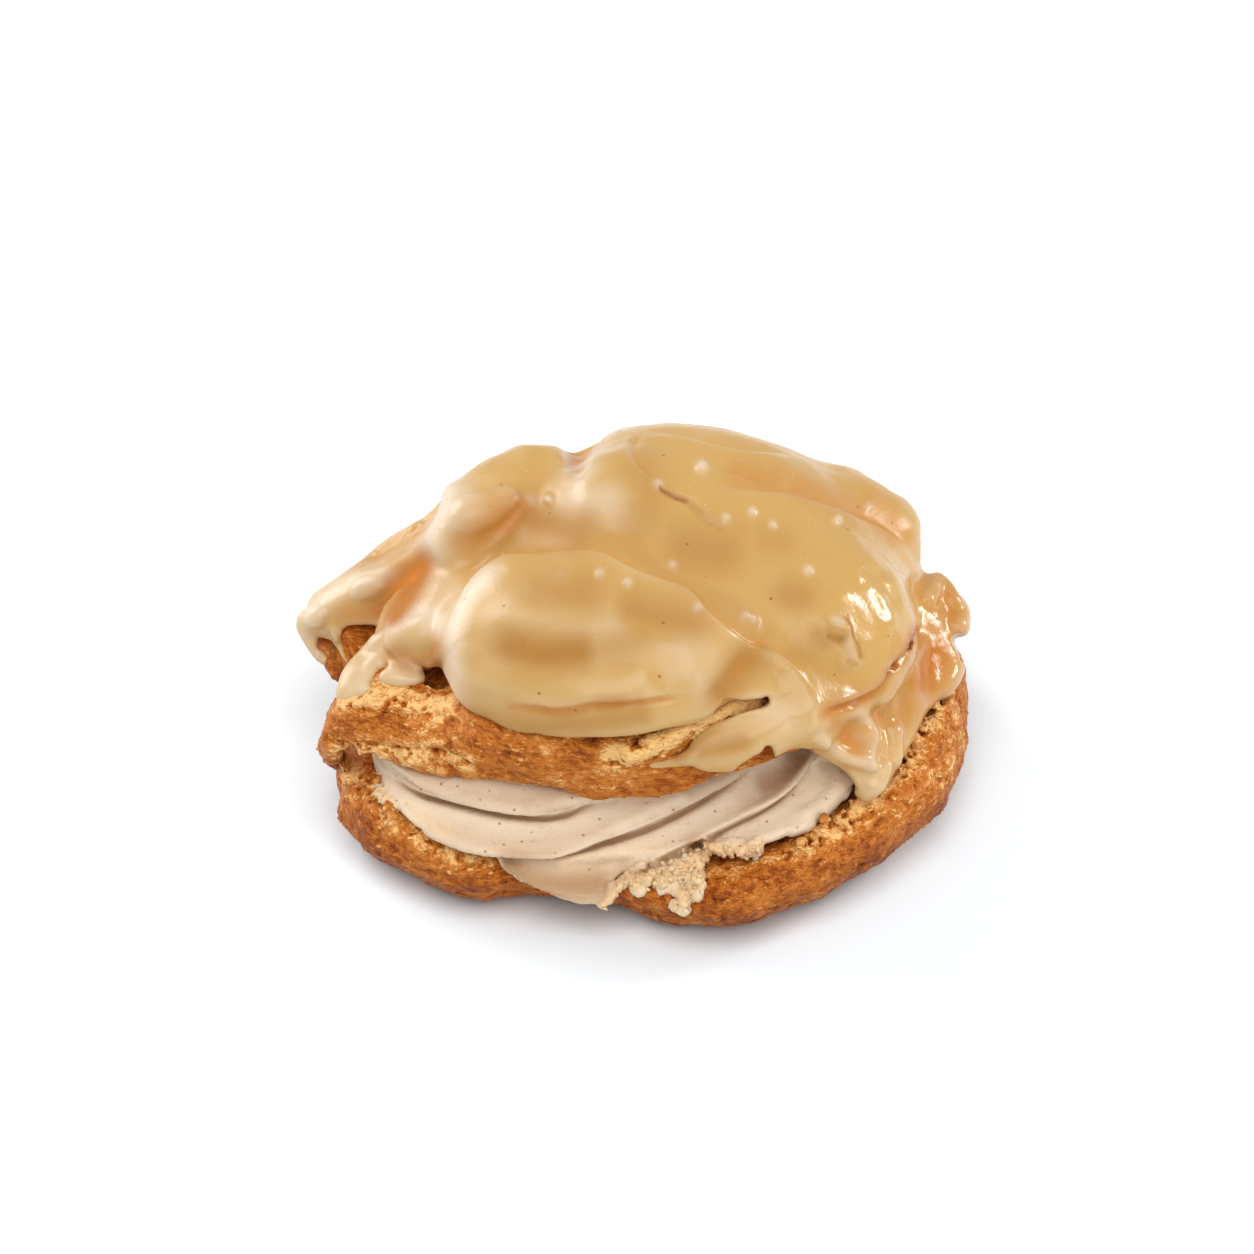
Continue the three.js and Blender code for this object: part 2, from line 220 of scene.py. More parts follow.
ICING_FOLDS = {
    "rim of the front lobe": Fold(
        [(448, 643), (457, 610), (475, 581), (502, 561), (535, 551), (569, 549), (605, 553), (640, 571),
         (675, 581), (694, 590), (710, 611), (737, 634), (767, 649), (796, 671), (811, 694)], 2.0, 0.6, 0.6),
    "edge of the left lip": Fold(
        [(449, 655), (432, 667), (416, 672), (400, 662), (388, 648), (384, 636)], 1.6, 0.7, 0.8),
    "right edge of the crown": Fold([(638, 434), (630, 447), (635, 461), (654, 478)], 1.4, 0.35, 0.5),
    "slit under the crown": Fold([(721, 528), (702, 514), (689, 502), (659, 490)], 1.0, 0.35, 0.5),
    "crest of the rear plate": Fold(
        [(721, 490), (734, 488), (788, 493), (828, 504), (863, 517), (889, 530), (905, 547), (919, 571)],
        2.8, 0.5, 0.5),
    "first rear ridge": Fold([(651, 433), (683, 437), (713, 445), (751, 451), (790, 456)], 1.6, 0.4, 0.5),
    "second rear ridge": Fold([(726, 469), (744, 474), (765, 482)], 1.4, 0.3, 0.5),
    "lip over the drape": Fold(
        [(918, 622), (914, 632), (904, 654), (890, 666), (882, 681), (872, 691), (845, 703), (821, 710)],
        2.0, 0.7, 1.5),
    "wrinkle of the front lobe": Fold(
        [(690, 694), (640, 700), (593, 702), (575, 706), (556, 709), (539, 706), (512, 706)], 1.5, 0.5, 0.9),
    "slit at the lobe's end": Fold([(769, 698), (747, 702), (725, 703)], 1.5, 0.5, 1.6),
}

ICING_STROKES = {
    "horn": Stroke([(316, 616), (335, 600), (360, 586), (386, 580)], 3.0, 1.0),
    "hollow beside the horn": Stroke([(420, 564), (408, 580), (396, 598), (386, 614)], 3.4, -1.7),
    "left flank of the knob": Stroke([(456, 498), (442, 528), (436, 555)], 3.4, 1.2),
    "left lip": Stroke([(398, 632), (420, 630), (442, 634)], 4.2, 0.9),
    "knob": Stroke([(470, 517), (492, 512), (510, 504)], 4.2, 1.5),
    "foot of the knob": Stroke([(460, 542), (482, 541), (506, 529), (526, 510)], 2.4, -0.4),
    "saddle beside the crown": Stroke([(552, 466), (546, 500), (540, 530)], 4.6, -1.2),
    "left face of the crown": Stroke([(588, 470), (588, 496), (612, 510)], 4.0, 1.2),
    "saddle behind the front lobe": Stroke([(620, 535), (660, 552), (700, 575)], 4.0, -0.7),
    "dip of the middle": Stroke([(686, 545), (716, 549)], 4.0, -0.7),
    "upper hollow of the front lobe": Stroke([(545, 588), (585, 592)], 4.4, -0.7),
    "middle ridge of the front lobe": Stroke([(500, 618), (560, 620), (620, 620)], 3.2, 0.5),
    "middle hollow of the front lobe": Stroke([(500, 645), (540, 651), (608, 649)], 4.2, -0.4),
    "light ridge of the front lobe": Stroke([(486, 678), (540, 689), (580, 691), (640, 684)], 3.0, 1.1),
    "left rim of the front lobe": Stroke([(464, 645), (470, 612), (484, 587), (506, 568)], 3.2, 0.9),
    "lower left of the front lobe": Stroke([(460, 660), (462, 690), (470, 706)], 3.0, 0.7),
    "right hollow of the front lobe": Stroke([(640, 610), (690, 622)], 3.4, -0.8),
    "right bulge of the front lobe": Stroke([(690, 650), (702, 680)], 4.0, 1.0),
    "hollow over the slit": Stroke([(724, 692), (740, 672), (752, 655)], 3.0, -1.5),
    "streak at the front right": Stroke([(770, 655), (795, 674), (811, 700), (815, 725)], 2.4, 1.1),
    "valley behind the plate": Stroke([(732, 472), (793, 484), (855, 508), (890, 532)], 2.6, -0.4),
    "slope behind the horn": Stroke([(372, 542), (402, 522), (424, 508)], 3.6, -2.2),
    "notch beside the crown": Stroke([(580, 446), (577, 462)], 2.4, -2.0),
    "top beside the notch": Stroke([(524, 446), (552, 443)], 3.0, 1.4),
    "amber hollow of the drape": Stroke([(935, 655), (928, 684)], 3.2, -0.7),
    "left rim of the amber hollow": Stroke([(921, 646), (916, 668), (914, 690)], 1.6, 0.6),
    "right rim of the amber hollow": Stroke([(948, 645), (954, 670), (946, 690)], 1.8, 0.6),
    "left hollow of the drape": Stroke([(838, 726), (855, 742)], 2.6, -0.5),
    "first pleat of the drape": Stroke([(852, 706), (866, 724), (874, 740)], 1.7, 0.8),
    "second pleat of the drape": Stroke([(867, 735), (871, 755)], 1.8, 0.7),
    "valley of the drape": Stroke([(877, 712), (882, 738), (880, 760)], 1.3, -0.7),
    "third pleat of the drape": Stroke([(887, 700), (890, 728), (891, 755)], 1.9, 0.6),
}

ICING_WORM = {
    "head": Stroke([(835, 627), (839, 629)], 1.5, 1.9),
    "tail": Stroke([(842, 634), (849, 646), (852, 660)], 0.9, 1.2),
}

# Shares of the icing's paints, of its gloss and of its ripples.
# Painted highlights: the pale paint stands in for the icing's sheen and highlights.
ICING_PAINTED_HIGHLIGHTS = {
    "tip of the drape": Stroke([(870, 748), (872, 778)], 3.0, 0.25),
    "horn": Stroke([(312, 614), (345, 588), (386, 574)], 2.0, 0.6),
    "left flank of the knob": Stroke([(458, 500), (441, 526), (434, 550)], 3.4, 0.65),
    "valley": Stroke([(438, 574), (446, 598), (428, 606)], 3.6, 0.35),
    "left lip": Stroke([(394, 624), (414, 614), (440, 624)], 2.8, 0.75),
    "rim of the front lobe": Stroke([(456, 704), (456, 655), (466, 608), (490, 578)], 2.2, 0.7),
    "left of the front lobe": Stroke([(500, 600), (486, 640)], 5.0, 0.15),
    "middle ridge of the front lobe": Stroke([(505, 616), (560, 620), (610, 622)], 3.0, 0.14),
    "left face of the crown": Stroke([(582, 473), (577, 498), (610, 503)], 3.4, 0.45),
    "run on the ledge": Stroke([(384, 645), (358, 685)], 4.4, 0.4),
    "blob on the ledge": Stroke([(398, 664), (410, 678)], 3.4, 0.4),
    "outer drip of the horn": Stroke([(304, 622), (316, 652)], 2.6, 0.4),
    "right bulge of the front lobe": Stroke([(690, 650), (706, 680)], 4.6, 0.2),
    "front right": Stroke([(765, 705), (790, 722)], 3.0, 0.25),
    "lower edge of the drape": Stroke([(820, 735), (845, 755), (872, 766)], 1.0, 0.35),
    "first pleat of the drape": Stroke([(859, 716), (873, 730)], 0.8, 0.35),
    "second pleat of the drape": Stroke([(867, 738), (871, 754)], 1.0, 0.4),
    "top of the drape": Stroke([(940, 626), (934, 640)], 1.2, 0.2),
    "head of the worm": Stroke([(833, 622), (837, 624)], 0.9, 0.6),
    "tail of the worm": Stroke([(845, 643), (849, 657)], 0.5, 0.4),
}

# Amber is the colour of thin clear icing on the drape, and painted shade in the hollows, the creases and
# under the horn, lip and knob.
ICING_AMBER_AND_SHADE = {
    "hollow beside the horn": Stroke([(417, 566), (405, 584), (390, 611)], 3.2, 0.6),
    "underside of the horn": Stroke([(348, 617), (370, 612), (388, 602)], 2.0, 0.4),
    "slope behind the horn": Stroke([(345, 566), (380, 541), (416, 520)], 3.0, 0.3),
    "underside of the left lip": Stroke([(394, 652), (416, 664), (444, 652)], 2.0, 0.35),
    "foot of the knob": Stroke([(461, 541), (478, 540), (500, 529), (516, 515)], 2.0, 0.4),
    "right end of the knob": Stroke([(514, 512), (522, 505)], 2.0, 0.4),
    "face of the knob": Stroke([(484, 526), (507, 514)], 3.2, 0.5),
    "first rear stain": Stroke([(740, 472), (775, 480)], 2.6, 0.35),
    "valley behind the plate": Stroke([(800, 486), (855, 508), (892, 534)], 2.8, 0.4),
    "right of the drape": Stroke([(925, 682), (934, 652)], 3.8, 0.9),
    "left of the drape": Stroke([(838, 724), (858, 744)], 3.0, 0.5),
    "drape": Stroke([(948, 600), (935, 680), (904, 713)], 4.6, 0.5),
    "rear right": Stroke([(868, 500), (905, 535)], 3.0, 0.3),
    "crease over the drape": Stroke([(916, 632), (895, 662), (870, 693), (825, 713)], 1.4, 0.8),
    "wrinkle of the front lobe": Stroke([(512, 707), (556, 710), (593, 703), (640, 701)], 1.2, 0.4),
}

# Painted shade in broad hollows, under lips and lobes and beside the worm, with a few real brown stains.
ICING_SHADE_AND_STAINS = {
    "middle hollow of the front lobe": Stroke([(510, 647), (540, 653), (578, 651)], 4.0, 0.8),
    "end of that hollow": Stroke([(590, 650), (618, 644), (640, 634)], 4.0, 0.4),
    "upper hollow of the front lobe": Stroke([(545, 588), (585, 592)], 4.6, 0.5),
    "right hollow of the front lobe": Stroke([(632, 608), (690, 622)], 3.8, 0.55),
    "hollow over the slit": Stroke([(722, 692), (736, 676), (750, 658)], 3.6, 0.8),
    "dip of the middle": Stroke([(686, 545), (720, 550)], 5.0, 0.5),
    "saddle behind the front lobe": Stroke(
        [(545, 540), (610, 543), (655, 562), (700, 590), (760, 634)], 3.0, 0.35),
    "right of the knob": Stroke([(526, 520), (510, 538)], 3.4, 0.3),
    "first stain": Stroke([(788, 594), (799, 597)], 3.2, 0.5),
    "second stain": Stroke([(768, 540), (781, 543)], 3.2, 0.3),
    "third stain": Stroke([(820, 634), (824, 642)], 2.4, 0.45),
    "fourth stain": Stroke([(602, 706), (620, 704)], 1.8, 0.6),
    "foot of the crown": Stroke([(640, 468), (650, 500), (632, 524)], 4.2, 0.35),
    "saddle beside the crown": Stroke([(536, 516), (552, 522), (576, 534)], 4.2, 0.7),
    "notch beside the crown": Stroke([(580, 450), (576, 460)], 2.2, 0.4),
    "below the dome": Stroke([(800, 655), (840, 690)], 4.5, 0.35),
    "underside of the left lip": Stroke([(400, 650), (420, 662), (445, 650)], 2.0, 0.5),
    "tongue": Stroke([(660, 757), (700, 750), (740, 742)], 2.2, 0.6),
    "lower lip of the front lobe": Stroke([(470, 716), (520, 728), (580, 724), (640, 715)], 2.6, 0.55),
    "right of the worm": Stroke([(847, 618), (849, 628), (853, 640), (858, 656)], 0.7, 0.9),
    "under the worm": Stroke([(828, 637), (838, 641)], 0.8, 0.8),
    "hollow beside the horn": Stroke([(417, 566), (405, 584), (390, 611)], 3.4, 0.9),
}

# Painted shade in the slits.
ICING_SLIT_SHADE = {
    "slit under the crown": Stroke([(660, 490), (673, 496), (686, 501)], 0.32, 0.9),
    "end of that slit": Stroke([(690, 503), (704, 514), (721, 528)], 0.4, 0.2),
    "upper slit beside the drape": Stroke([(915, 629), (908, 645)], 0.7, 0.9),
    "lower slit beside the drape": Stroke([(898, 659), (886, 672)], 0.7, 0.9),
}

ICING_WET = {
    "right shoulder": Stroke([(850, 575), (888, 600), (898, 640), (880, 690)], 7.0, 1.0),
    "drape": Stroke([(935, 590), (945, 650), (905, 700), (872, 740), (868, 785)], 8.0, 1.0),
    "front right": Stroke([(780, 655), (812, 700), (815, 735)], 3.5, 0.8),
    "tongue": Stroke([(690, 752), (740, 738), (790, 722)], 3.0, 0.5),
}

ICING_RIPPLED = {
    "right shoulder": Stroke([(846, 572), (884, 600), (890, 645)], 6.0, 1.0),
    "drape": Stroke([(944, 605), (937, 638)], 3.4, 1.2),
}

ICING_PAINTS = {
    "wet": ICING_WET, "pale": ICING_PAINTED_HIGHLIGHTS, "amber": ICING_AMBER_AND_SHADE, "shade": ICING_SHADE_AND_STAINS, "dark": ICING_SLIT_SHADE,
}

# Round rises. Those of less than this width, in millimetres, are bubbles, and get a painted highlight.
LARGEST_BUBBLE = 1.5
ICING_SWELLS = {
    "first rise of the right shoulder": Stroke([(838, 598)], 2.0, 0.4),
    "second rise of the right shoulder": Stroke([(857, 572)], 1.9, 0.4),
    "third rise of the right shoulder": Stroke([(884, 620)], 2.2, 0.5),
    "fourth rise of the right shoulder": Stroke([(899, 577)], 1.6, 0.4),
    "fifth rise of the right shoulder": Stroke([(864, 640)], 2.0, 0.4),
    "large bubble": Stroke([(702, 468)], 1.2, 1.0),
    "bubble over the slit": Stroke([(658, 485)], 1.0, 0.8),
    "bubble beside the crown": Stroke([(546, 497)], 1.0, 0.8),
    "tail of that bubble": Stroke([(530, 500)], 1.2, 0.4),
    "left twin bubble": Stroke([(744, 617)], 0.9, 0.8),
    "right twin bubble": Stroke([(752, 620)], 0.9, 0.8),
    "bubble on the lobe's rim": Stroke([(674, 560)], 0.9, 0.6),
    "bubble right of the middle": Stroke([(808, 571)], 0.9, 0.5),
    "first bubble of the plate": Stroke([(752, 513)], 0.8, 0.6),
    "second bubble of the plate": Stroke([(726, 518)], 0.8, 0.6),
    "third bubble of the plate": Stroke([(772, 525)], 0.8, 0.5),
    "fourth bubble of the plate": Stroke([(836, 521)], 0.8, 0.5),
    "fifth bubble of the plate": Stroke([(869, 506)], 0.8, 0.5),
    "first bubble of the lobe": Stroke([(600, 573)], 0.8, 0.4),
    "second bubble of the lobe": Stroke([(628, 584)], 0.8, 0.5),
    "third bubble of the lobe": Stroke([(697, 607)], 0.8, 0.4),
}

ICING_STRANDS = {
    "outer drip of the horn": Strand(
        [(322, 616), (306, 622), (308, 634), (313, 646), (320, 657), (331, 664)], 1.6, 0.8, 0.2),
    "thin strand of the horn": Strand([(335, 628), (339, 641), (343, 654), (350, 666)], 0.9, 0.6, 0.2),
    "left lip": Strand([(408, 632), (420, 639), (432, 638)], 4.8, 4.8, -4.3),
    "end of the horn": Strand([(366, 590), (385, 590)], 2.6, 2.9, -1.7),
    "knob": Strand([(475, 524), (493, 520), (507, 512)], 4.3, 3.8, -3.0),
    "run on the ledge": Strand([(386, 646), (373, 662), (360, 678), (355, 692)], 3.0, 3.2, -2.2),
    "right of the run": Strand([(392, 652), (380, 663), (369, 676), (364, 690)], 2.0, 2.0, -1.1),
    "left edge of the run": Strand([(378, 646), (362, 658), (351, 674), (345, 688)], 1.2, 1.2, -0.3),
    "blob on the ledge": Strand([(398, 662), (401, 671), (407, 676)], 2.4, 2.5, -1.7),
    "ends of the blob": Strand([(385, 678), (400, 680), (418, 677)], 1.5, 1.4, -0.6),
    "thin end of the tongue": Strand([(652, 763), (670, 762), (692, 757)], 1.0, 1.4, -0.6),
    "flap at the back right": Strand(
        [(926, 602), (937, 582), (948, 600), (957, 612), (956, 628)], 1.8, 2.4, -0.6),
    "lower edge of the drape": Strand([(817, 738), (844, 756), (872, 765)], 1.0, 1.3, 0.3),
    "tip of the drape": Strand([(881, 768), (877, 783), (866, 793)], 1.8, 1.4, 0.0),
    "finger of the drape": Strand([(893, 732), (893, 760)], 1.5, 1.4, 0.0),
}

ICING_SCOOPS = {
    "left arch under the horn": Scoop([(322, 645), (331, 650), (337, 658)], 1.3, 1.0, 6.0),
    "right of the drape": Scoop([(966, 640), (957, 641), (962, 649), (966, 664), (969, 682)], 1.5, 1.3, 12.0),
    "right arch under the horn": Scoop([(352, 636), (362, 635), (374, 635)], 2.1, 1.4, 7.0),
    "foot of the right arch": Scoop([(356, 645), (354, 654)], 1.6, 1.1, 6.0),
    "slot between the runs": Scoop([(392, 664), (381, 671), (373, 684)], 0.4, 0.7, 1.2),
    "notch in the tongue": Scoop([(767, 760), (768, 750)], 1.4, 1.1, 4.0),
    "below the tongue": Scoop([(664, 777), (700, 777), (728, 772), (748, 765), (758, 759)], 1.2, 1.1, 4.0),
    "below the drape": Scoop([(804, 757), (822, 767), (838, 778), (846, 788)], 1.8, 2.0, 8.0),
    "ledge over the tongue": Scoop(
        [(636, 748), (660, 738), (684, 730), (704, 721), (727, 711), (748, 703), (766, 699)], 2.0, 0.7, 5.0),
    "upper slit beside the drape": Scoop([(915, 630), (908, 645)], 0.5, 0.7, 4.0),
    "lower slit beside the drape": Scoop([(898, 660), (886, 672)], 0.6, 0.5, 3.0),
}

LID_STRANDS = {
    "choux behind the left arch": Strand([(324, 640), (333, 654), (343, 670)], 2.6, 2.4, -3.0),
    "choux behind the right arch": Strand([(352, 634), (368, 640), (360, 656)], 3.0, 2.6, -4.5),
    "lower layer on the left": Strand([(332, 736), (331, 748), (338, 762)], 2.0, 1.8, -1.2),
}

LID_SCOOPS = {
    "cavity behind the front lobe": Scoop([(430, 676), (440, 676)], 1.8, 2.2, 5.0),
    "cavity over the cream": Scoop([(366, 760), (378, 762)], 1.2, 1.2, 4.0),
    "crack under the ledge": Scoop([(345, 746), (352, 752)], 0.8, 0.9, 2.5),
}

LID_STROKES = {
    "torn strip over the tongue": Stroke([(630, 752), (684, 731), (727, 711), (752, 704)], 2.0, 3.0),
}

LID_FOLDS = {
    "edge of the ledge": Fold(
        [(517, 743), (495, 734), (465, 722), (447, 716), (408, 714), (376, 709), (343, 707)], 1.6, 0.3, 0.3),
    "step in the lid's edge": Fold(
        [(486, 773), (452, 750), (382, 743), (343, 740), (328, 732)], 1.5, 0.4, 0.8),
}

# Shares of the torn crumb, which is paler. On the torn strip over the tongue, which lies in shade, more crumb
# is laid on as painted light.
LID_CRUMB = {
    "ledge on the left": Stroke([(345, 696), (385, 698), (447, 704)], 2.6, 1.2),
    "porous strip": Stroke([(335, 750), (400, 752), (470, 760)], 2.2, 1.0),
    "torn strip over the tongue": Stroke([(610, 756), (660, 739), (735, 711), (755, 704)], 2.2, 1.5),
}

BASE_CRUMB = {
    "torn left end": Stroke([(345, 775), (376, 790)], 2.5, 1.0),
    "front left rim": Stroke([(385, 818), (440, 848), (490, 864)], 1.8, 0.9),
    "right rim": Stroke([(800, 850), (850, 815), (900, 765), (930, 715), (950, 660)], 2.8, 1.2),
    # At the far right the crumb is partly real and partly painted light.
    "far right": Stroke([(956, 700), (954, 745), (934, 780)], 2.6, 0.45),
    "left face": Stroke([(356, 792), (366, 806)], 3.0, 0.5),
    "front rim": Stroke([(690, 880), (740, 868), (800, 850)], 2.2, 0.7),
}

BASE_CRUMBLES = {
    "right rim": Crumble(
        [(790, 848), (830, 828), (870, 796), (905, 758), (935, 712), (950, 660)], 0.4, 1.0, 1.6, 170),
    "left end": Crumble([(346, 776), (362, 780), (378, 792), (392, 812)], 0.4, 0.9, 1.2, 60),
}

BASE_SCOOPS = {
    "hole in the right rim": Scoop([(908, 728), (917, 720)], 1.2, 1.6, 4.0),
    "second hole in the right rim": Scoop([(938, 703), (943, 700)], 0.9, 1.0, 3.0),
}

CREAM_FOLDS = {
    "edge of the top lobe": Fold(
        [(599, 802), (586, 805), (560, 814), (528, 816), (495, 812), (452, 802), (417, 791), (391, 776)],
        1.2, 0.9, 1.7),
    "edge of the second sheet": Fold(
        [(762, 761), (741, 776), (714, 792), (687, 807), (647, 826), (604, 841), (560, 858), (528, 860),
         (491, 856), (456, 847), (413, 828), (387, 812)], 1.3, 0.9, 1.8),
    "edge of the third sheet": Fold(
        [(816, 747), (806, 772), (784, 796), (762, 810), (733, 824), (699, 841), (672, 853), (635, 871),
         (618, 880)], 1.3, 0.9, 1.8),
}

CREAM_STROKES = {
    "light lip": Stroke([(812, 752), (804, 770), (790, 787), (770, 801), (745, 815)], 0.9, 0.6),
    "hollow behind the lip": Stroke([(799, 754), (786, 772), (758, 791)], 2.6, -1.5),
    "hollow of the top lobe": Stroke([(400, 772), (450, 786), (520, 800)], 1.8, -0.4),
    "hollow of the second sheet": Stroke([(420, 808), (500, 834), (570, 834), (640, 806)], 2.4, -0.5),
    "hollow of the third sheet": Stroke([(620, 858), (680, 834), (730, 810)], 2.2, -0.5),
}

CREAM_STRANDS = {
    "right edge of the last sheet": Strand(
        [(849, 772), (844, 790), (832, 808), (815, 821), (792, 831)], 1.3, 1.0, -0.5),
    "upper edge of the last sheet": Strand([(826, 752), (840, 762), (849, 770)], 1.3, 1.3, -0.5),
    "inside of the last sheet": Strand([(836, 766), (837, 784), (824, 804), (806, 816)], 2.2, 1.8, -1.5),
}

CREAM_SCOOPS = {
    "right edge of the hanging sheet": Scoop([(628, 886), (618, 894), (611, 904)], 1.1, 0.8, 5.0),
    "gap in the torn edge": Scoop([(700, 848), (712, 856)], 1.2, 1.4, 3.5),
    "first bite": Scoop([(730, 860), (736, 858)], 0.9, 0.8, 3.0),
    "second bite": Scoop([(757, 858), (763, 852)], 1.0, 0.9, 3.0),
}

CREAM_CRUMBLES = {
    "torn cluster": Crumble([(640, 876), (662, 871), (684, 862), (702, 860)], 0.4, 1.2, 1.4, 90),
    "middle of the cluster": Crumble([(660, 884), (676, 884), (692, 876)], 0.4, 1.1, 1.4, 80),
    "tail of the cluster": Crumble([(690, 870), (696, 884), (686, 898), (680, 903)], 0.4, 1.2, 1.3, 70),
    "left lump of the cluster": Crumble([(632, 878), (640, 888)], 0.4, 1.0, 0.8, 24),
    "torn edge": Crumble([(704, 842), (722, 846), (742, 848), (758, 846)], 0.4, 0.9, 0.9, 60),
    "edge of the hanging sheet": Crumble([(624, 880), (612, 894), (603, 906)], 0.4, 0.8, 0.6, 30),
    "left end": Crumble([(380, 790), (388, 800), (396, 814)], 0.4, 0.8, 0.9, 30),
}

# Shares of the cream's paints and of its torn skin.
# Painted shade where the cream hangs or lies in shade, and in its gaps.
CREAM_PAINTED_SHADE = {
    "hanging sheet": Stroke([(512, 870), (550, 884), (596, 884)], 4.0, 1.0),
    "under the third sheet": Stroke([(600, 884), (622, 872)], 2.2, 0.6),
    "hollow behind the lip": Stroke([(799, 756), (786, 772), (768, 784)], 1.8, 0.5),
    "top lobe": Stroke([(410, 778), (460, 792), (560, 806)], 2.6, 0.4),
    "second sheet": Stroke([(430, 830), (520, 846), (600, 830)], 2.6, 0.3),
    "gap in the torn edge": Stroke([(694, 846), (712, 856)], 1.6, 1.2),
}

# Painted shadow behind the lip and under the lid.
CREAM_SHADE = {
    "hollow behind the lip": Stroke([(801, 753), (786, 768), (764, 779)], 1.9, 0.75),
    "under the lid": Stroke([(757, 763), (720, 780), (690, 792)], 1.2, 0.55),
}

CREAM_TORN = {
    "torn cluster": Stroke([(636, 880), (664, 876), (696, 866), (690, 886), (682, 900)], 2.6, 1.0),
    "torn edge": Stroke([(702, 846), (722, 850), (742, 850), (760, 848)], 1.4, 1.0),
    "edge of the hanging sheet": Stroke([(626, 880), (612, 895), (602, 907)], 0.9, 0.8),
    "left end": Stroke([(378, 788), (388, 802), (396, 816)], 1.2, 0.9),
    "left of the second sheet": Stroke([(396, 806), (416, 816), (444, 830)], 2.0, 0.3),
    "rough band of the third sheet": Stroke([(566, 864), (612, 857), (664, 843)], 1.6, 0.25),
}


def linear(red, green, blue):
    """A colour given in the 0 to 255 of a screen, as the light it stands for."""
    shares = [value / 255.0 for value in (red, green, blue)]
    return tuple(share / 12.92 if share <= 0.04045 else ((share + 0.055) / 1.055) ** 2.4 for share in shares)


def colour_property(name, description, red, green, blue):
    """A colour that a user may change."""
    default = linear(red, green, blue)
    return FloatVectorProperty(
        name=name, description=description, default=default, subtype="COLOR", size=3, min=0.0, max=1.0)


def length_property(name, description, millimetres):
    """A length that a user may change."""
    return FloatProperty(
        name=name, description=description, default=millimetres * MM, min=0.0,
        subtype="DISTANCE", unit="LENGTH")


class IcingLook(bpy.types.PropertyGroup):
    """Sizes and colours of the icing."""

    grain: length_property("Grain", "Distance between the points of the icing's skin", 0.46)
    swell: length_property("Swell", "How far the icing grows to close the gap to the choux", 0.15)
    body: colour_property("Body", "Colour of the icing where it is thick", 199, 157, 89)
    # Painted shade and light: hollow is painted shade in the creases, and crest is painted light on the
    # crests.
    hollow: colour_property("Hollow", "Colour of the icing deep in its creases", 204, 122, 40)
    crest: colour_property("Crest", "Colour of the icing on its crests", 205, 171, 118)
    # The pale colour is a painted highlight.
    pale: colour_property("Pale", "Colour of the icing where it is milky", 226, 208, 184)
    # Amber is also painted as shade into hollows and creases.
    amber: colour_property("Amber", "Colour of the icing where it is thin and clear", 184, 106, 30)
    # The shade colour paints shade into broad hollows and also colours the brown stains.
    shade: colour_property("Shade", "Colour of the icing in its broad hollows", 164, 110, 46)
    # The speck colour also paints shade into the slits.
    speck: colour_property("Speck", "Colour of the brown specks and slits in the icing", 146, 74, 26)


class ChouxLook(bpy.types.PropertyGroup):
    """Sizes and colours of the two halves of choux."""

    grain: length_property("Grain", "Distance between the points of the choux's skin", 0.45)
    crag: length_property("Crag", "Height of the larger lumps of the crust", 0.6)
    wrinkle: length_property("Wrinkle", "Height of the wrinkles of the crust", 0.32)
    flake: length_property("Flake", "Height of the small flakes of the crust", 0.14)
    pore: length_property("Pore", "Depth of the pores of the torn crumb", 0.5)
    crust: colour_property("Crust", "Colour of the baked crust", 150, 71, 9)
    gold: colour_property("Gold", "Colour of the raised fibres of the crust", 200, 116, 34)
    # Painted shade in pores and hollows darkens the crust towards the deep colour.
    deep: colour_property("Deep", "Colour of the cracks in the crust", 84, 32, 4)
    crumb: colour_property("Crumb", "Colour of the torn crumb", 255, 204, 132)


class CreamLook(bpy.types.PropertyGroup):
    """Sizes and colours of the filling."""

    grain: length_property("Grain", "Distance between the points of the cream's skin", 0.38)
    swell: length_property("Swell", "How far the cream grows to close the gap to the choux", 0.2)
    body: colour_property("Body", "Colour of the cream", 229, 209, 182)
    # Hollow and crease are painted shade: in the hollows and on shaded sheets, and as a shadow under the
    # folds' edges.
    hollow: colour_property("Hollow", "Colour of the cream in its hollows", 178, 136, 92)
    crease: colour_property("Crease", "Colour of the cream in its creases", 142, 92, 48)
    crumb: colour_property("Crumb", "Colour of the cream where it is torn", 240, 200, 146)
    speck: colour_property("Speck", "Colour of the specks in the cream", 168, 112, 66)


class StageLook(bpy.types.PropertyGroup):
    """Floor and lights."""

    floor: colour_property("Floor", "Colour of the floor", 241, 247, 251)
    floor_size: length_property("Floor size", "Side of the square floor", 6000.0)


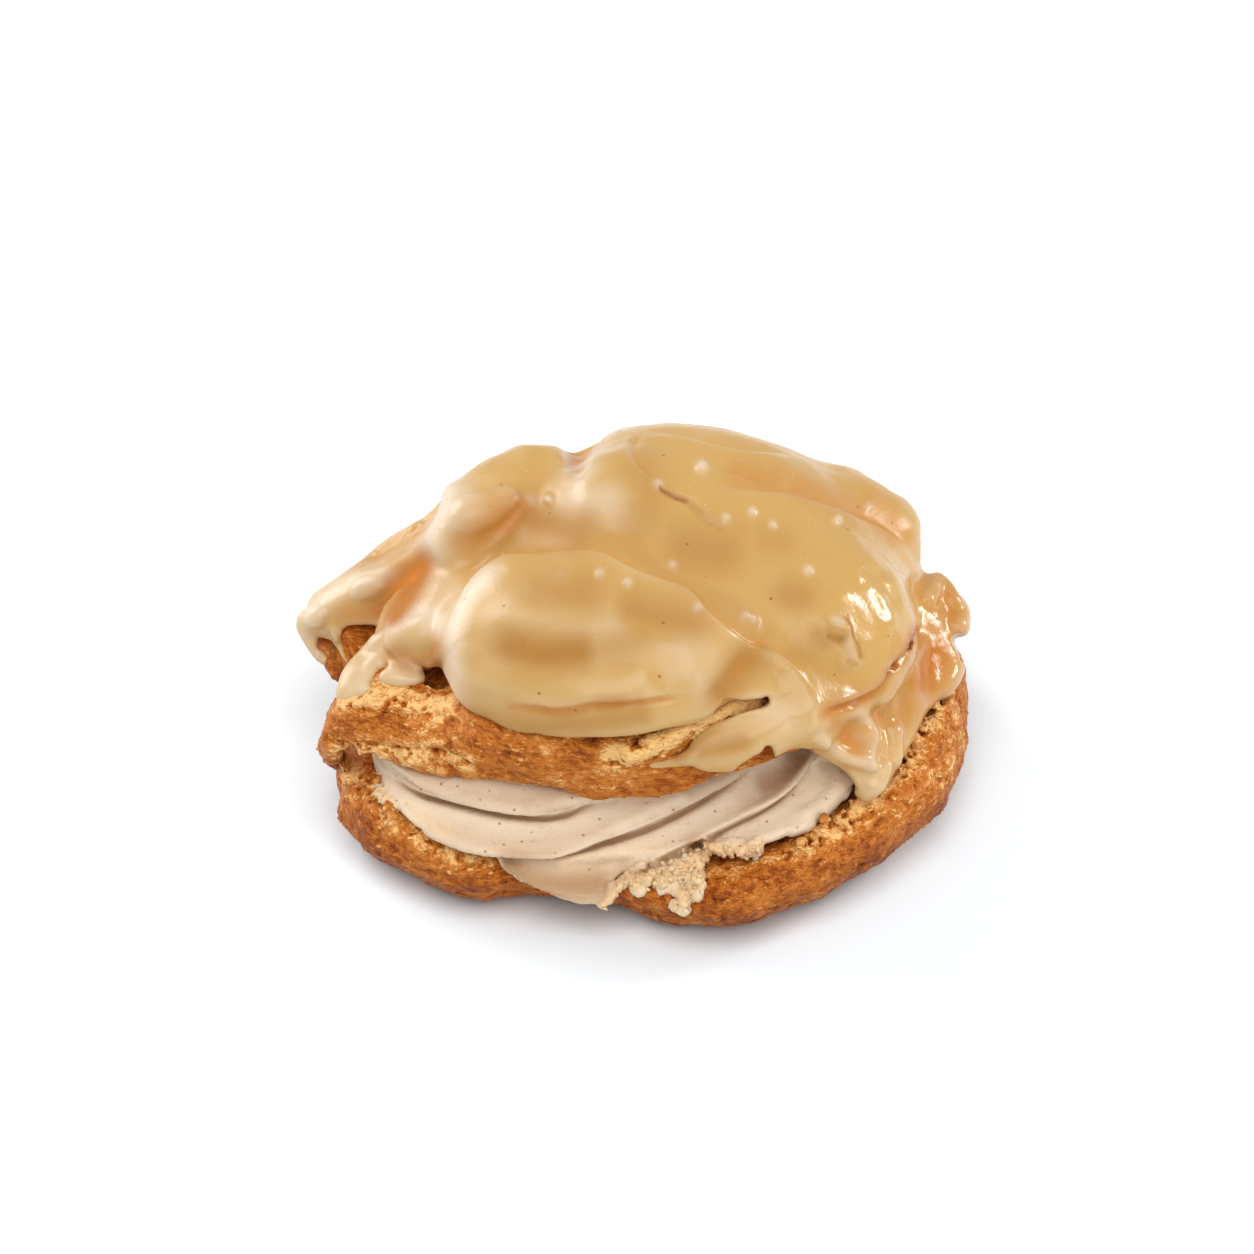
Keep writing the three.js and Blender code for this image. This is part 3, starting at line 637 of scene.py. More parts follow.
class Clay:
    """A closed skin of points and four-sided faces, in millimetres, worked by moving its points."""

    def __init__(self, points, faces):
        self.points = points
        self.faces = faces
        corners = [faces[:, [k, (k + 1) % 4]] for k in range(4)]
        edges = np.concatenate(corners)
        self.starts = edges[:, 0]
        self.ends = edges[:, 1]
        self.degree = np.maximum(np.bincount(self.starts, minlength=len(points)), 1)
        self.facing = None
        self.spots = None
        self.share = None

    def skin(self):
        """The points and faces alone."""
        return self.points, self.faces

    def neighbours(self, values):
        """The mean of each point's neighbours' values."""
        sums = [np.bincount(self.starts, column[self.ends], len(values)) for column in values.T]
        return np.stack(sums, axis=1) / self.degree[:, None]

    def smoothed(self, rounds):
        """The points with small bumps taken off, without shrinking the form."""
        points = self.points
        for turn in range(rounds):
            for share in (PULL, -PUSH):
                points = points + share * (self.neighbours(points) - points)
        return points

    def relaxed(self, rounds):
        """The points drawn towards their neighbours, which fills hollows and lowers crests."""
        points = self.points
        for turn in range(rounds):
            points = points + PULL * (self.neighbours(points) - points)
        return points

    def normals(self):
        """Each point's outward direction."""
        a, b, c, d = (self.points[self.faces[:, k]] for k in range(4))
        across = np.cross(c - a, d - b)
        total = np.zeros_like(self.points)
        for k in range(4):
            for axis in range(3):
                total[:, axis] += np.bincount(self.faces[:, k], across[:, axis], len(total))
        return total / np.maximum(np.linalg.norm(total, axis=1), 1e-9)[:, None]

    def main_part(self):
        """The largest connected part, without loose scraps."""
        parts = np.arange(len(self.points))
        lowest = None
        while lowest is None or not np.array_equal(lowest, parts):
            parts = parts if lowest is None else lowest
            lowest = parts.copy()
            np.minimum.at(lowest, self.starts, parts[self.ends])
            lowest = lowest[lowest]
        kept = parts == np.bincount(parts).argmax()
        numbers = np.cumsum(kept) - 1
        return Clay(self.points[kept], numbers[self.faces[kept[self.faces[:, 0]]]])

    def seen(self):
        """Where the photo camera sees each point, in the photo's pixels."""
        gaps = self.points - np.array(CAMERA_PLACE)
        depths = -gaps @ np.array(CAMERA_BACK)
        focal = CAMERA_LENS / CAMERA_SENSOR * PHOTO_SIZE
        right = PHOTO_SIZE / 2 + focal * gaps[:, 0] / depths
        down = PHOTO_SIZE / 2 - focal * (gaps @ np.array(CAMERA_UP)) / depths
        return np.stack([right, down], axis=1)

    def nudge(self, line):
        """Shifts the form near a line, its far side too."""
        self.spots = self.seen()
        self.share = np.ones(len(self.points))
        hit = self.touch(line)
        shift = np.array((line.right, 0.0, 0.0)) - np.array(CAMERA_UP) * line.down
        self.points[hit.points] += hit.near[:, None] * shift

    def settle(self):
        """Takes the present form as the one that lines are drawn on, as far as the photo camera sees it."""
        smooth = Clay(self.relaxed(SETTLE_ROUNDS), self.faces)
        self.facing = smooth.normals()
        self.spots = self.seen()
        gaps = self.points - np.array(CAMERA_PLACE)
        sights = gaps / np.linalg.norm(gaps, axis=1)[:, None]
        turned = smoothstep(-SIDE_ON, SIDE_ON, -np.einsum("ij,ij->i", self.facing, sights))
        tree = BVHTree.FromPolygons(self.points.tolist(), self.faces.tolist())
        first = [tree.ray_cast(CAMERA_PLACE, sight)[3] or 0.0 for sight in sights.tolist()]
        buried = np.linalg.norm(gaps, axis=1) - np.array(first)
        self.share = turned * smoothstep(BURIED_FAR, BURIED_NEAR, buried)

    def away(self):
        """How far each point is out of the photo camera's sight, from 0 to 1, with soft edges."""
        values = 1.0 - self.share[:, None]
        for turn in range(AWAY_ROUNDS):
            values = self.neighbours(values)
        return values[:, 0]

    def touch(self, line):
        """What a drawn line reaches."""
        path = np.array(curve_through(line.pixels, LINE_STEP))
        reach = LINE_REACH * line.width * PIXELS_PER_MM
        inside = np.all((self.spots > path.min(0) - reach) & (self.spots < path.max(0) + reach), axis=1)
        points = np.nonzero(inside & (self.share > 0.0))[0]
        steps = KDTree(len(path))
        for step, spot in enumerate(path):
            steps.insert((*spot, 0.0), step)
        steps.balance()
        found = [steps.find((*spot, 0.0)) for spot in self.spots[points].tolist()]
        nearest = np.array([step for place, step, gap in found], int)
        distances = np.array([gap for place, step, gap in found]) / PIXELS_PER_MM
        near = np.exp(-(distances / line.width) ** 2)
        share = self.share[points]
        if len(path) == 1:
            return Touch(points, distances, distances, near, share, np.ones(len(points)))
        tangents = np.gradient(path, axis=0)
        sides = np.stack([-tangents[:, 1], tangents[:, 0]], axis=1)
        sides /= np.linalg.norm(sides, axis=1)[:, None]
        offsets = self.spots[points] - path[nearest]
        across = np.einsum("ij,ij->i", offsets, sides[nearest]) / PIXELS_PER_MM
        along = nearest / (len(path) - 1)
        ends = np.minimum(smoothstep(*LINE_END, along), smoothstep(*LINE_END, 1.0 - along))
        return Touch(points, across, distances, near, share, ends)

    def stroke(self, line):
        """Lifts or presses the skin along a line."""
        hit = self.touch(line)
        amount = line.height * hit.near * hit.share
        self.points[hit.points] += self.facing[hit.points] * amount[:, None]

    def fold(self, line):
        """Makes one side of a line overlap the other."""
        hit = self.touch(line)
        place = hit.across / line.width
        raised = line.lip / (1.0 + np.exp(-FOLD_STEP * place)) * np.exp(-LIP_FADE * place ** 2)
        sunk = line.dip / (1.0 + np.exp(FOLD_STEP * place)) * np.exp(-DIP_FADE * place ** 2)
        amount = (raised - sunk) * (hit.share * hit.ends)
        self.points[hit.points] += self.facing[hit.points] * amount[:, None]

    def draw(self, *tables):
        """Works the lines of the given tables into the skin, one after another."""
        ways = {Stroke: self.stroke, Fold: self.fold, Nudge: self.nudge}
        for table in tables:
            for line in table.values():
                ways[type(line)](line)

    def dabs(self, lines):
        """The largest share of paint that the drawn lines bring to each point."""
        total = np.zeros(len(self.points))
        for line in lines.values():
            hit = self.touch(line)
            total[hit.points] = np.maximum(total[hit.points], line.height * hit.share * hit.near)
        return total

    def under(self, lines):
        """How near each point is to the sunken side of any of the drawn folds, from 0 to 1."""
        total = np.zeros(len(self.points))
        for line in lines.values():
            hit = self.touch(line)
            place = (hit.across / line.width + CREASE_WIDTH) / CREASE_WIDTH
            near = np.exp(-place ** 2) * (hit.distances < line.width)
            total[hit.points] = np.maximum(total[hit.points], near * hit.share * hit.ends)
        return total

    def grow(self, amounts):
        """Moves every point outwards."""
        self.points = self.points + self.normals() * np.reshape(amounts, (-1, 1))

    def sunken(self, rounds):
        """How far each point lies below its smoothed surroundings."""
        return np.einsum("ij,ij->i", self.relaxed(rounds) - self.points, self.normals())


def smoothstep(low, high, values):
    """A soft step from 0 at low to 1 at high."""
    share = np.clip((values - low) / (high - low), 0.0, 1.0)
    return share * share * (3.0 - 2.0 * share)


def photo_sight(pixel):
    """The direction in which the photo camera sees a pixel."""
    focal = CAMERA_LENS / CAMERA_SENSOR * PHOTO_SIZE
    right = (pixel[0] - PHOTO_SIZE / 2) / focal
    up = (PHOTO_SIZE / 2 - pixel[1]) / focal
    sight = Vector((right, 0.0, 0.0)) + CAMERA_UP * up - CAMERA_BACK
    return sight.normalized()


def curve_through(pixels, step):
    """Pixels spaced by about step along a smooth curve through the given ones."""
    knots = [np.array(pixel, float) for pixel in pixels]
    if len(knots) == 1:
        return knots
    knots = [2 * knots[0] - knots[1]] + knots + [2 * knots[-1] - knots[-2]]
    line = []
    for before, start, end, after in zip(knots, knots[1:], knots[2:], knots[3:]):
        count = max(1, round(float(np.linalg.norm(end - start)) / step))
        for t in np.arange(count) / count:
            bend = 2 * start + (end - before) * t + (2 * before - 5 * start + 4 * end - after) * t ** 2
            line.append(0.5 * (bend + (3 * start - before - 3 * end + after) * t ** 3))
    line.append(knots[-2])
    return line


def values_of(items, key, width, kind=float):
    """One property of all of a mesh's items, in rows of the given width."""
    values = np.zeros(len(items) * width, kind)
    items.foreach_get(key, values)
    return values.reshape(-1, width)


def triangles_of(mesh):
    """A mesh's points and triangles."""
    mesh.calc_loop_triangles()
    return values_of(mesh.vertices, "co", 3), values_of(mesh.loop_triangles, "vertices", 3, int)


def node_skin(name):
    """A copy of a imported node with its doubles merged: its points in millimetres and its triangles."""
    points, triangles = triangles_of(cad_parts[name].data)
    merged, index = np.unique(np.round(points / MM, 4), axis=0, return_inverse=True)
    return merged, index.reshape(-1)[triangles]


def ball_skin(centre, radius):
    """A small ball of points and triangles."""
    form = bmesh.new()
    bmesh.ops.create_icosphere(form, subdivisions=2, radius=radius)
    points = np.array([vertex.co for vertex in form.verts]) + np.array(centre)
    faces = np.array([[vertex.index for vertex in face.verts] for face in form.faces])
    form.free()
    return points, faces


def strand_skins(strands, trees):
    """Balls along drawn lines, laid on whatever the photo camera sees there."""
    skins = []
    for strand in strands.values():
        line = curve_through(strand.pixels, LINE_STEP)
        radii = np.linspace(strand.start, strand.end, len(line))
        for pixel, depth, radius in zip(line, front_depths(line, trees), radii):
            skins.append(ball_skin(CAMERA_PLACE + photo_sight(pixel) * (depth - strand.lift), radius))
    return skins


def joined(skins):
    """Several skins as one set of points and faces."""
    points = np.concatenate([skin[0] for skin in skins])
    starts = np.cumsum([0] + [len(skin[0]) for skin in skins[:-1]])
    faces = [(skin[1] + start).tolist() for skin, start in zip(skins, starts)]
    return points, [face for group in faces for face in group]


def holder_of(skins):
    """A passing object that holds skins, in millimetres."""
    points, faces = joined(skins)
    rough = bpy.data.meshes.new("rough")
    rough.from_pydata(points.tolist(), [], faces)
    holder = bpy.data.objects.new("rough", rough)
    bpy.context.scene.collection.objects.link(holder)
    return holder


def drop(holder):
    """Deletes a passing object and its mesh."""
    rough = holder.data
    bpy.data.objects.remove(holder)
    bpy.data.meshes.remove(rough)


def clay_from(skins, grain):
    """One closed skin of even four-sided faces around everything given."""
    holder = holder_of(skins)
    skin = holder.modifiers.new("skin", "REMESH")
    skin.mode = "VOXEL"
    skin.voxel_size = grain
    even = evaluated_mesh(holder)
    points = values_of(even.vertices, "co", 3)
    corners = values_of(even.loops, "vertex_index", 1, int)
    drop(holder)
    bpy.data.meshes.remove(even)
    return Clay(points, corners.reshape(-1, 4))


def carved(skin, tools):
    """A skin with other skins cut out of it, as points and triangles."""
    holder = holder_of([skin])
    knife = holder_of(tools)
    cut = holder.modifiers.new("cut", "BOOLEAN")
    cut.operation = "DIFFERENCE"
    cut.solver = "MANIFOLD"
    cut.object = knife
    left = evaluated_mesh(holder)
    skin = triangles_of(left)
    drop(holder)
    drop(knife)
    bpy.data.meshes.remove(left)
    return skin


def crumble_skins(crumbles, trees, seed):
    """Small lumps strewn along drawn lines, laid on whatever the photo camera sees there."""
    chance = np.random.default_rng(seed)
    skins = []
    for crumble in crumbles.values():
        line = curve_through(crumble.pixels, LINE_STEP)
        depths = front_depths(line, trees)
        for step in chance.integers(0, len(line), crumble.count):
            radius = chance.uniform(crumble.smallest, crumble.largest)
            place = CAMERA_PLACE + photo_sight(line[step]) * depths[step]
            offset = Vector(chance.normal(0.0, 0.6 * crumble.spread, 3))
            skins.append(ball_skin(place + offset, radius))
    return skins


def scoop_skin(scoops, trees):
    """The tool that cuts all scoops, as one closed skin."""
    balls = []
    for scoop in scoops.values():
        line = curve_through(scoop.pixels, SCOOP_STEP)
        radii = np.linspace(scoop.start, scoop.end, len(line))
        for pixel, depth, radius in zip(line, front_depths(line, trees), radii):
            for deep in np.arange(-radius, scoop.depth, 0.7 * radius):
                balls.append(ball_skin(CAMERA_PLACE + photo_sight(pixel) * (depth + deep), radius))
    return clay_from(balls, SCOOP_GRAIN).skin()


def front_depths(line, trees):
    """How far from the photo camera the puff lies along a line of pixels, also where the line leaves it."""
    found = {}
    for step, pixel in enumerate(line):
        depths = [tree.ray_cast(CAMERA_PLACE, photo_sight(pixel))[3] for tree in trees]
        depths = [depth for depth in depths if depth is not None]
        if depths:
            found[step] = min(depths)
    if not found:
        raise RuntimeError("a drawn line misses the puff")
    return np.interp(range(len(line)), list(found), list(found.values()))


def form_of(node, rounds):
    """A node's form with its flat facets smoothed away."""
    clay = clay_from([node_skin(node)], SOLID_GRAIN)
    clay.points = clay.smoothed(rounds)
    return clay.skin()


def evaluated_mesh(holder):
    """The plain mesh that an object's modifiers make."""
    depsgraph = bpy.context.evaluated_depsgraph_get()
    return bpy.data.meshes.new_from_object(holder.evaluated_get(depsgraph))


def piece_from(clay, name, material, attributes):
    """A finished piece from worked clay, with named values on its points."""
    mesh = bpy.data.meshes.new(name)
    mesh.from_pydata((clay.points * MM).tolist(), [], clay.faces.tolist())
    mesh.shade_smooth()
    for label, values in attributes.items():
        layer = mesh.attributes.new(label, "FLOAT", "POINT")
        layer.data.foreach_set("value", np.asarray(values, np.float32))
    mesh.materials.append(material)
    piece = bpy.data.objects.new(name, mesh)
    bpy.context.scene.collection.objects.link(piece)
    return piece


def noise_values(points, size, octaves):
    """Soft noise from about -1 to 1 at each point, with features of the given size."""
    return np.array([noise.fractal(place, 1.0, 2.0, octaves) for place in (points / size).tolist()])


def rough(points, relief):
    """The height of soft noise at each point, in millimetres."""
    return relief.height * noise_values(points, relief.size, relief.octaves)


CrustRelief = namedtuple("CrustRelief", "lumps wrinkles flakes pores")


def crust_relief(points, shift):
    """The lumps, wrinkles, flakes and pores of a baked crust, each from about -1 to 1, at each point."""
    noise.seed_set(NOISE_SEED)
    rows = []
    for place in (points + shift).tolist():
        spot = Vector(place)
        bend = noise.noise_vector(spot / BEND_SIZE)
        flat = Vector((spot.x, spot.y, spot.z * CRUST_FLATNESS)) + bend * CRUST_BEND
        lump = noise.noise(spot / LUMP_SIZE)
        wrinkle = 0.5 - 1.6 * abs(noise.noise(flat / WRINKLE_SIZE))
        flake = noise.noise(flat / FLAKE_SIZE)
        pore = noise.voronoi((spot + bend * PORE_BEND) / PORE_SIZE)[0][0]
        pore = pore + 0.5 * noise.noise(spot / PORE_PATCH_SIZE) + 0.1
        rows.append((lump, wrinkle, flake, pore))
    return CrustRelief(*np.array(rows).T)


def covered(clay, trees):
    """Which points of a skin lie against other forms, away from the edges of such places."""
    near = []
    for place, normal in zip(clay.points.tolist(), clay.normals().tolist()):
        hits = [tree.find_nearest(place, COVER_REACH)[0] for tree in trees]
        ahead = [(hit - Vector(place)).dot(Vector(normal)) for hit in hits if hit is not None]
        near.append(max(ahead, default=-COVER_REACH) > -COVER_SLACK)
    hidden = np.array(near, float)[:, None]
    for turn in range(COVER_ROWS):
        hidden = np.where(clay.neighbours(hidden) > 0.999, hidden, 0.0)
    return hidden[:, 0] > 0.5


def thin_covered(piece, hidden):
    """Fewer faces, above all where a piece is covered by its neighbours."""
    count = 2 * len(piece.data.polygons)
    triangles = TRIANGLES[piece.name]
    if count <= triangles:
        return
    group = piece.vertex_groups.new(name="covered")
    group.add(range(len(hidden)), SHOWN_WEIGHT, "REPLACE")
    group.add(np.nonzero(hidden)[0].tolist(), COVERED_WEIGHT, "REPLACE")
    thin = piece.modifiers.new("thin", "DECIMATE")
    thin.ratio = triangles / count
    thin.vertex_group = "covered"
    thin.vertex_group_factor = THIN_FACTOR
    plain_mesh = evaluated_mesh(piece)
    old = piece.data
    piece.modifiers.clear()
    piece.vertex_groups.clear()
    piece.data = plain_mesh
    name = old.name
    bpy.data.meshes.remove(old)
    plain_mesh.name = name


class Shader:
    """A procedural material under construction."""

    def __init__(self, name):
        self.material = bpy.data.materials.new(name)
        self.material.use_nodes = True
        self.tree = self.material.node_tree
        self.surface = self.tree.nodes["Principled BSDF"]
        self.coordinates = self.tree.nodes.new("ShaderNodeTexCoord").outputs["Object"]

    def add(self, kind, **settings):
        """A node with its plain settings."""
        made = self.tree.nodes.new(kind)
        for key, value in settings.items():
            setattr(made, key, value)
        return made

    def join(self, source, target):
        """Links an output to an input."""
        self.tree.links.new(source, target)

    def value_of(self, label):
        """A named value of the mesh's points."""
        return self.add("ShaderNodeAttribute", attribute_name=label).outputs["Fac"]

    def noise_of(self, size, detail=3.0, stretch=(1.0, 1.0, 1.0), roughness=0.55, curl=0.0):
        """Soft noise with features of the given size in millimetres."""
        mapping = self.add("ShaderNodeMapping")
        mapping.inputs["Scale"].default_value = [1.0 / (size * MM * share) for share in stretch]
        self.join(self.coordinates, mapping.inputs["Vector"])
        made = self.add("ShaderNodeTexNoise")
        made.inputs["Scale"].default_value = 1.0
        made.inputs["Detail"].default_value = detail
        made.inputs["Roughness"].default_value = roughness
        made.inputs["Distortion"].default_value = curl
        self.join(mapping.outputs["Vector"], made.inputs["Vector"])
        return made.outputs["Fac"]

    def cells_of(self, size):
        """Distance to the nearest of scattered points, spaced by the given size in millimetres."""
        made = self.add("ShaderNodeTexVoronoi", feature="F1")
        made.inputs["Scale"].default_value = 1.0 / (size * MM)
        self.join(self.coordinates, made.inputs["Vector"])
        return made.outputs["Distance"]

    def ramp(self, source, low, high, start=0.0, end=1.0):
        """A value moved from the range low to high into the range start to end."""
        made = self.add("ShaderNodeMapRange", interpolation_type="SMOOTHSTEP")
        made.inputs["From Min"].default_value = low
        made.inputs["From Max"].default_value = high
        made.inputs["To Min"].default_value = start
        made.inputs["To Max"].default_value = end
        self.join(source, made.inputs["Value"])
        return made.outputs["Result"]

    def math(self, operation, first, second):
        """Two values combined; each is an output or a plain number."""
        made = self.add("ShaderNodeMath", operation=operation)
        for socket, source in zip(made.inputs, (first, second)):
            if isinstance(source, (int, float)):
                socket.default_value = source
            else:
                self.join(source, socket)
        return made.outputs["Value"]

    def mix(self, share, first, second):
        """Two colours mixed; each is an output or a plain colour."""
        made = self.add("ShaderNodeMix", data_type="RGBA")
        self.join(share, made.inputs[0])
        for socket, source in zip((made.inputs[6], made.inputs[7]), (first, second)):
            if isinstance(source, bpy.types.NodeSocket):
                self.join(source, socket)
            else:
                socket.default_value = (*source, 1.0)
        return made.outputs[2]

    def coats(self, ground, paints):
        """A ground colour with paints laid over it in turn, each by its own share."""
        colour = tuple(ground)
        for share, paint in paints:
            colour = self.mix(share, colour, tuple(paint))
        return colour

    def band(self, source, stops):
        """A colour that runs through the given stops as a value goes from 0 to 1."""
        made = self.add("ShaderNodeValToRGB")
        made.color_ramp.interpolation = "EASE"
        points = made.color_ramp.elements
        while len(points) < len(stops):
            points.new(0.5)
        for point, (place, colour) in zip(points, stops):
            point.position = place
            point.color = (*colour, 1.0)
        self.join(source, made.inputs["Fac"])
        return made.outputs["Color"]

    def bump(self, height, distance):
        """Fine relief of the given height in millimetres."""
        made = self.add("ShaderNodeBump")
        made.inputs["Strength"].default_value = 1.0
        made.inputs["Distance"].default_value = distance * MM
        self.join(height, made.inputs["Height"])
        self.join(made.outputs["Normal"], self.surface.inputs["Normal"])

    def finish(self, colour, roughness, specular, subsurface, radius):
        """Sets the surface's own values; roughness and specular are outputs or plain numbers."""
        self.join(colour, self.surface.inputs["Base Color"])
        for label, source in {"Roughness": roughness, "Specular IOR Level": specular}.items():
            if isinstance(source, bpy.types.NodeSocket):
                self.join(source, self.surface.inputs[label])
            else:
                self.surface.inputs[label].default_value = source
        self.surface.inputs["Subsurface Weight"].default_value = subsurface
        self.surface.inputs["Subsurface Radius"].default_value = radius
        self.surface.inputs["Subsurface Scale"].default_value = MM
        return self.material


def icing_material(look):
    """Glossy caramel icing, more orange in its creases, with painted shade in its hollows and slits and
    painted highlights, and duller where shade is painted.
    """
    shader = Shader("caramel icing")
    hollow, wet, dark = (shader.value_of(label) for label in ("hollow", "wet", "dark"))
    shade, amber = (shader.value_of(label) for label in ("shade", "amber"))
    # Painted shade in the creases, which turn darker and more orange, and painted light on the crests.
    crests = shader.ramp(hollow, -0.05, -0.7)
    creases = shader.ramp(hollow, 0.05, 0.9)
    # Painted highlights, from the pale paint and from the bubbles' tints.
    highlighted = shader.math("MAXIMUM", shader.value_of("pale"), shader.value_of("tint"))
    stains = shader.ramp(shader.noise_of(9.0, detail=2.0), 0.6, 0.78, end=0.1)
    specks = shader.ramp(shader.cells_of(6.5), 0.055, 0.035, end=0.75)
    colour = shader.coats(look.body, [
        (crests, look.crest), (highlighted, look.pale), (shade, look.shade), (amber, look.amber),
        (creases, look.hollow), (dark, look.speck), (stains, look.hollow), (specks, look.speck)])
    roughness = shader.ramp(shader.noise_of(12.0), 0.3, 0.7, start=0.29, end=0.35)
    roughness = shader.math("SUBTRACT", roughness, shader.math("MULTIPLY", wet, 0.15))
    painted = shader.math("MAXIMUM", shade, amber)
    dull = shader.math("SUBTRACT", painted, wet)
    roughness = shader.math("ADD", roughness, shader.ramp(dull, 0.0, 1.0, end=0.3))
    specular = shader.ramp(painted, 0.0, 1.0, start=0.5, end=0.1)
    waves, ripples = (shader.noise_of(size, detail=2.0) for size in (2.6, 0.8))
    shader.bump(shader.math("ADD", waves, ripples), 0.05)
    return shader.finish(colour, roughness, specular, subsurface=0.12, radius=(1.8, 0.9, 0.4))


def choux_material(look):
    """Baked crust, shredded into fine fibres, with paler torn crumb and painted shade in its pores and
    hollows.
    """
    shader = Shader("choux crust")
    fibres = shader.noise_of(0.42, stretch=(2.6, 2.6, 0.9), roughness=0.6, curl=1.4)
    grain = shader.noise_of(1.3, stretch=(2.4, 2.4, 0.8), roughness=0.6, curl=0.4)
    patches = shader.noise_of(8.0)
    # The relief value is the crust's tone with painted shade in its pores and hollows.
    light = shader.math("ADD", shader.value_of("relief"), shader.value_of("tint"))
    light = shader.math("ADD", light, shader.math("MULTIPLY", shader.value_of("crumb"), 0.4))
    for source, weight in ((fibres, 1.2), (grain, 0.4), (patches, 0.8)):
        centred = shader.math("ADD", source, -0.5)
        light = shader.math("ADD", light, shader.math("MULTIPLY", centred, weight))
    stops = [(0.0, look.deep), (0.24, look.crust), (0.58, look.gold), (1.0, look.crumb)]
    colour = shader.band(light, stops)
    shader.bump(shader.math("ADD", fibres, shader.math("MULTIPLY", grain, 0.8)), 0.45)
    return shader.finish(colour, 0.46, 0.2, subsurface=0.1, radius=(1.4, 0.7, 0.25))


def cream_material(look):
    """Matte cream with fine specks and pores, painted shade in its hollows and on its shaded sheets, and a
    painted shadow under its folds.
    """
    shader = Shader("coffee cream")
    torn = shader.value_of("torn")
    warm = shader.ramp(shader.noise_of(6.0), 0.35, 0.75, end=0.1)
    # Painted shade in the hollows and shaded places, and a painted shadow under the folds.
    hollow = shader.ramp(shader.value_of("hollow"), 0.02, 0.3, end=0.5)
    shaded = shader.math("MAXIMUM", hollow, shader.math("MULTIPLY", shader.value_of("tan"), 0.9))
    creased = shader.math("MULTIPLY", shader.value_of("under"), 0.75)
    crumbly = shader.math("MULTIPLY", torn, 0.85)
    large = shader.ramp(shader.cells_of(2.6), 0.13, 0.07, end=0.85)
    small = shader.ramp(shader.cells_of(1.1), 0.14, 0.06, end=0.35)
    specks = shader.math("MAXIMUM", large, small)
    colour = shader.coats(look.body, [
        (warm, look.speck), (shaded, look.hollow), (creased, look.crease), (crumbly, look.crumb),
        (specks, look.speck)])
    pits = shader.ramp(shader.cells_of(3.1), 0.14, 0.04, end=-0.8)
    coarse = shader.math("MULTIPLY", shader.noise_of(1.1), shader.math("MULTIPLY", torn, 3.0))
    shader.bump(shader.math("ADD", shader.noise_of(0.8), shader.math("ADD", pits, coarse)), 0.2)
    return shader.finish(colour, 0.5, 0.4, subsurface=0.25, radius=(1.6, 1.0, 0.6))


def grain_shape(shape):
    """A closed form of two dozen triangles, one metre long before it is scaled, that strewn grains repeat."""
    chance = np.random.default_rng(shape.seed)
    form = bmesh.new()
    bmesh.ops.create_uvsphere(form, u_segments=6, v_segments=3, radius=0.5)
    for vertex in form.verts:
        offset = Vector(chance.uniform(-shape.rough, shape.rough, 3))
        long, wide, high = Vector((vertex.co.z, vertex.co.y, -vertex.co.x)) + offset
        vertex.co = (long, wide * shape.width, high * shape.height - shape.bend * long * long)
    mesh = bpy.data.meshes.new("grain")
    form.to_mesh(mesh)
    form.free()
    mesh.shade_smooth()
    return bpy.data.objects.new("grain", mesh)


STREW_INPUTS = {
    "Surface": "NodeSocketObject", "Shapes": "NodeSocketCollection", "Material": "NodeSocketMaterial",
    "Per area": "NodeSocketFloat", "Smallest": "NodeSocketFloat", "Largest": "NodeSocketFloat",
    "Lean": "NodeSocketFloat", "Turn": "NodeSocketFloat",
    "Least": "NodeSocketFloat", "Most": "NodeSocketFloat", "Seed": "NodeSocketInt",
}


